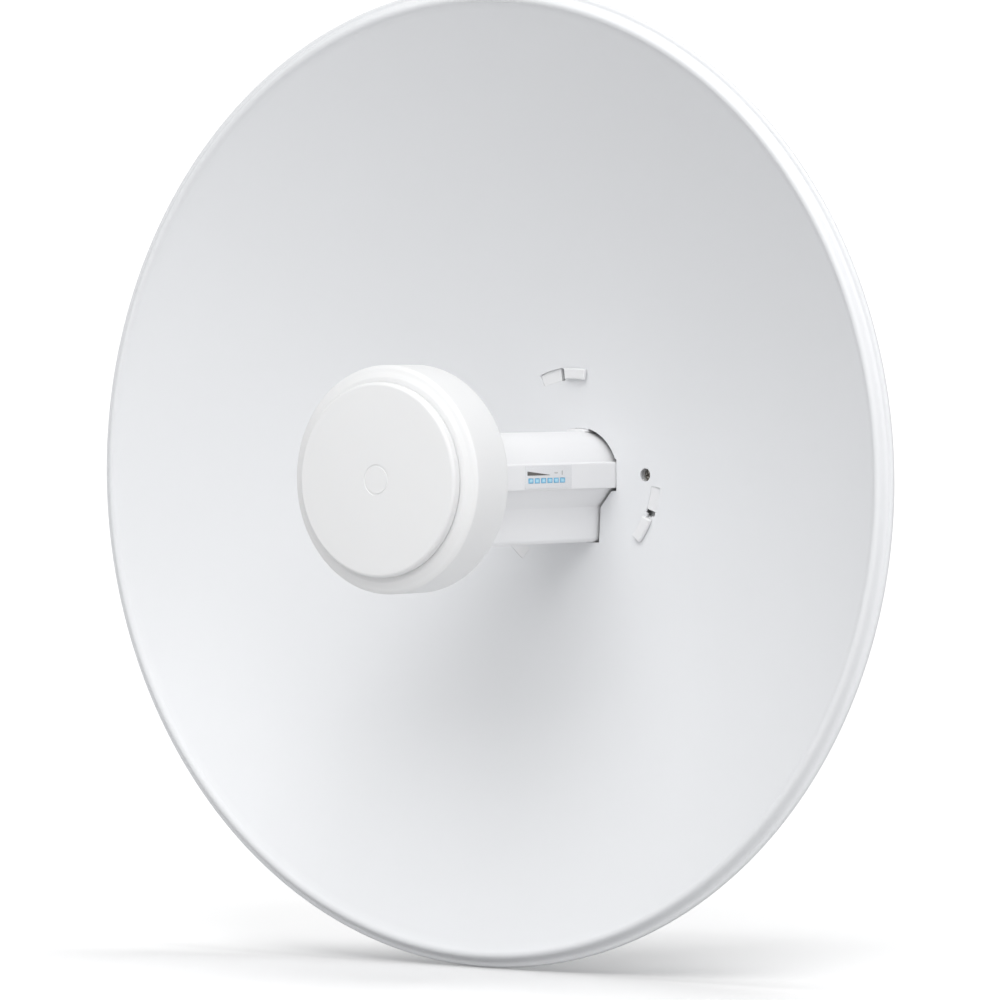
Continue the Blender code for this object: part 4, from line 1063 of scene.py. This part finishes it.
# ================================================================== pole bracket
def make_bracket():
    """Plate with two slotted ears, a small web on each and holes for the bolts."""
    start, end, half = -90 - TILT, -90 + TILT, 3.35     # slot's angles and half width

    def on_lock_circle(degrees):
        a = math.radians(degrees)
        return PIVOT_Y + LOCK_RADIUS * math.cos(a), LOCK_RADIUS * math.sin(a)

    ear_y = PLATE_FRONT + 1.5
    ear = hull(arc(10.0, 0, 360, 64, PIVOT_AT) + arc(6.3, 0, 360, 40, on_lock_circle(start))
               + arc(6.3, 0, 360, 40, LOCK_AT) + [(ear_y, 10.0), (ear_y, -26.3)])
    slot = (arc(LOCK_RADIUS + half, start, end, 24, PIVOT_AT)
            + arc(half, end, end + 180, 16, on_lock_circle(end))[1:]
            + arc(LOCK_RADIUS - half, end, start, 24, PIVOT_AT)[1:]
            + arc(half, start + 180, start + 360, 16, on_lock_circle(start))[1:-1])
    web = [(78.0, 8.0), (84.6, 8.0), (84.6, 16.0)]
    bracket = prism(rounded_box((-41, 41), (-27, 20), 5, step=10.0), "Y",
                    edge_levels(PLATE_FRONT, PLATE_BACK, 0.6), "mount_bracket", CASTING)
    for side in (-1, 1):
        lo, hi = both(side, EAR_IN, EAR_OUT)
        plate = prism(ear, "X", edge_levels(lo, hi, 0.45))
        cut(plate, prism(slot, "X", straight(lo - 1, hi + 1)))
        join(bracket, plate, prism(web, "X", straight(lo, hi)))
    cut(bracket, rod("X", PIVOT_AT, 4.3, -15, 15),
        *[rod("Y", (side * LEG_X, 0), 4.5, 80, 92) for side in (-1, 1)])
    piece(bracket, "pole_mount", "pole_bracket")


def saddle_outline(toothed, drop):
    """V-block outline (x, y) whose V lies drop nearer the plate, its flanks plain or toothed."""
    slope = math.tan(math.radians(30))
    flank_x, back = 21.5, PLATE_BACK + 0.3
    top = APEX_Y + flank_x * slope
    flank = [(flank_x, top - drop)]
    if toothed:
        flank = []
        for i in range(10):
            x = flank_x - 1.9 * i
            flank += [(x, APEX_Y + x * slope), (x - 0.75, APEX_Y + (x - 0.75) * slope - 0.95)]
        flank.append((2.5, APEX_Y + 2.5 * slope))
    right = [(24.0, back), (24.0, top + 1.4 - drop), (23.4, top + 2.0 - drop)]
    right += flank + [(0.0, APEX_Y - drop)]
    return [(-24.0, back)] + right + flipped(right)[:-1]


def make_saddle():
    saddle = prism(saddle_outline(False, 0.4), "Z", straight(-12.0, 12.0), "pole_v_block",
                   CASTING)
    for lo, hi in ((-17.0, -11.0), (11.0, 17.0)):
        join(saddle, prism(saddle_outline(True, 0.0), "Z", straight(lo, hi)))
    cut(saddle, box((-16, 16), (80, 88.8), (-9.5, 9.5), r=0.8))
    piece(saddle, "pole_mount", "pole_saddle")


# ================================================================== CAD nodes that stay
STAY = {
    "latch_spring": STEEL_ROD, "cover_seal": RUBBER, "jack_seal": RUBBER, "reflector_disc": TIN,
    "antenna_board": BOARD, "main_board": BOARD, "patch_plate": COPPER, "patch_spacer": BUTTON,
    "coax_left": COPPER, "coax_right": COPPER, "shield_can": TIN, "processor": CHIP,
    "memory": CHIP, "magnetics": CHIP, "jack": TIN, "reset_button": BUTTON,
    "standoff_1": TIN, "standoff_2": TIN, "standoff_3": TIN, "standoff_4": TIN,
}


def dress_cad_nodes():
    for name, mat in STAY.items():
        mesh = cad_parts[name].data
        mesh.materials.clear()
        mesh.materials.append(mat)
        for face in mesh.polygons:
            face.material_index = 0


# ================================================================== floor, light, camera
WHITE = 1.15        # strength of the plain white seen round the object


def floor_material():
    """Faintly glossy floor that the camera sees fade to white, and see-through from below."""
    mat = bpy.data.materials.new("floor_white")
    mat.use_nodes = True
    mat.node_tree.nodes.clear()
    g = Graph(mat.node_tree)
    camera_ray = g.node("ShaderNodeLightPath").outputs["Is Camera Ray"]
    tone = g.mix(camera_ray, (0.565, 0.565, 0.57), (0.96, 0.96, 0.96))
    matt = g.node("ShaderNodeBsdfDiffuse", Color=tone).outputs[0]
    gloss = g.node("ShaderNodeBsdfGlossy", Roughness=0.08, Color=(0.95, 0.95, 0.95)).outputs[0]
    near = g.mix_shaders(0.08, matt, gloss)
    away = g.node("ShaderNodeVectorMath")
    away.operation = 'LENGTH'
    g.put(away.inputs[0], g.node("ShaderNodeTexCoord").outputs["Object"])
    fade = g.ramp(away.outputs["Value"], span=(0.42, 0.85), smooth=True)
    white = g.node("ShaderNodeEmission", Strength=WHITE).outputs[0]
    sweep = g.mix_shaders(g.times(fade, camera_ray), near, white)
    below = g.node("ShaderNodeNewGeometry").outputs["Backfacing"]
    clear = g.node("ShaderNodeBsdfTransparent").outputs[0]
    g.node("ShaderNodeOutputMaterial", Surface=g.mix_shaders(below, sweep, clear))
    return mat


def make_floor():
    half = 30.0     # metres
    mesh = bpy.data.meshes.new("floor")
    mesh.from_pydata([(-half, -half, 0), (half, -half, 0), (half, half, 0), (-half, half, 0)],
                     [], [(0, 1, 2, 3)])
    floor = bpy.data.objects.new("floor", mesh)
    floor.location.z = FLOOR_Z * MM
    scene_root.objects.link(floor)
    mesh.materials.append(floor_material())
    return floor


def make_world():
    """Soft light, brighter from above; the camera sees plain white."""
    world = bpy.data.worlds.new("studio")
    bpy.context.scene.world = world
    world.use_nodes = True
    world.node_tree.nodes.clear()
    g = Graph(world.node_tree)
    coord = g.node("ShaderNodeTexCoord").outputs["Generated"]
    height = g.node("ShaderNodeSeparateXYZ", Vector=coord).outputs["Z"]
    strength = g.ramp(height, span=(-1.0, 1.0), to=(0.36, 0.60))
    colour = g.mix(height, (0.985, 0.99, 1.0), (1.0, 1.0, 1.0))
    light = g.node("ShaderNodeBackground", Color=colour, Strength=strength).outputs[0]
    seen = g.node("ShaderNodeBackground", Color=(1, 1, 1), Strength=WHITE).outputs[0]
    camera_ray = g.node("ShaderNodeLightPath").outputs["Is Camera Ray"]
    g.node("ShaderNodeOutputWorld", Surface=g.mix_shaders(camera_ray, light, seen))


# Area lights: name, place, aim, size (metres), power (watts), INCLUDE to light only the
# floor or EXCLUDE to light all but the floor
AREA_LIGHTS = [
    ("key", (0.62, -1.30, 1.60), (0, 0, 0), (2.2, 2.0), 35.0, 'EXCLUDE'),
    ("side", (2.3, -0.6, 0.3), (0, -0.05, 0), (1.6, 1.8), 8.0, 'EXCLUDE'),
    ("floor_top", (0.0, 0.28, 2.1), (0, 0, -0.2), (1.4, 1.2), 30.0, 'INCLUDE'),
    ("floor_front", (0.75, -1.35, 1.45), (0, 0, -0.2), (1.2, 1.2), 15.5, 'INCLUDE'),
]


def make_lights(floor):
    for name, place, aim, size, power, reach in AREA_LIGHTS:
        data = bpy.data.lights.new(name, 'AREA')
        data.shape = 'RECTANGLE'
        data.size, data.size_y = size
        data.energy = power
        light = bpy.data.objects.new(name, data)
        scene_root.objects.link(light)
        light.location = place
        light.rotation_mode = 'QUATERNION'
        light.rotation_quaternion = (Vector(aim) - Vector(place)).to_track_quat('-Z', 'Y')
        light.visible_camera = False
        group = bpy.data.collections.new(name + "_reach")
        group.objects.link(floor)
        group.collection_objects[0].light_linking.link_state = reach
        light.light_linking.receiver_collection = group


AZIMUTH, ELEVATION = 36.79, 1.5     # degrees to the right of the front, and up
DISTANCE = 3.0                      # metres from the target
LENS = 252.6552
AIM_RIGHT, AIM_UP = 7.3, -9.9       # target from the rim's centre, in the view plane


def make_camera():
    azimuth, elevation = math.radians(AZIMUTH), math.radians(ELEVATION)
    back = Vector((math.sin(azimuth) * math.cos(elevation),
                   -math.cos(azimuth) * math.cos(elevation), math.sin(elevation)))
    right = Vector((math.cos(azimuth), math.sin(azimuth), 0))
    up = back.cross(right)
    target = Vector((0, -RIM_REACH * MM, 0)) + right * (AIM_RIGHT * MM) + up * (AIM_UP * MM)
    data = bpy.data.cameras.new("camera")
    data.sensor_width = 36.0
    data.lens = LENS
    data.clip_end = 100.0
    camera = bpy.data.objects.new("camera", data)
    scene_root.objects.link(camera)
    camera.rotation_mode = 'QUATERNION'
    camera.location = target + back * DISTANCE
    camera.rotation_quaternion = (-back).to_track_quat('-Z', 'Y')
    bpy.context.scene.camera = camera


# ================================================================== build
make_dish()
make_front_cover()
make_drum()
make_tube()
make_label()
make_light_pipe()
make_marks()
make_hub()
make_lock_screw()
make_latch()
make_cover()
make_grommet()
make_u_bolt()
make_joint_bolts()
make_bracket()
make_saddle()
dress_cad_nodes()

stage_floor = make_floor()
make_world()
make_lights(stage_floor)
make_camera()
view = bpy.context.scene.view_settings
view.view_transform = 'Standard'
view.look = 'None'
view.exposure = 0.0
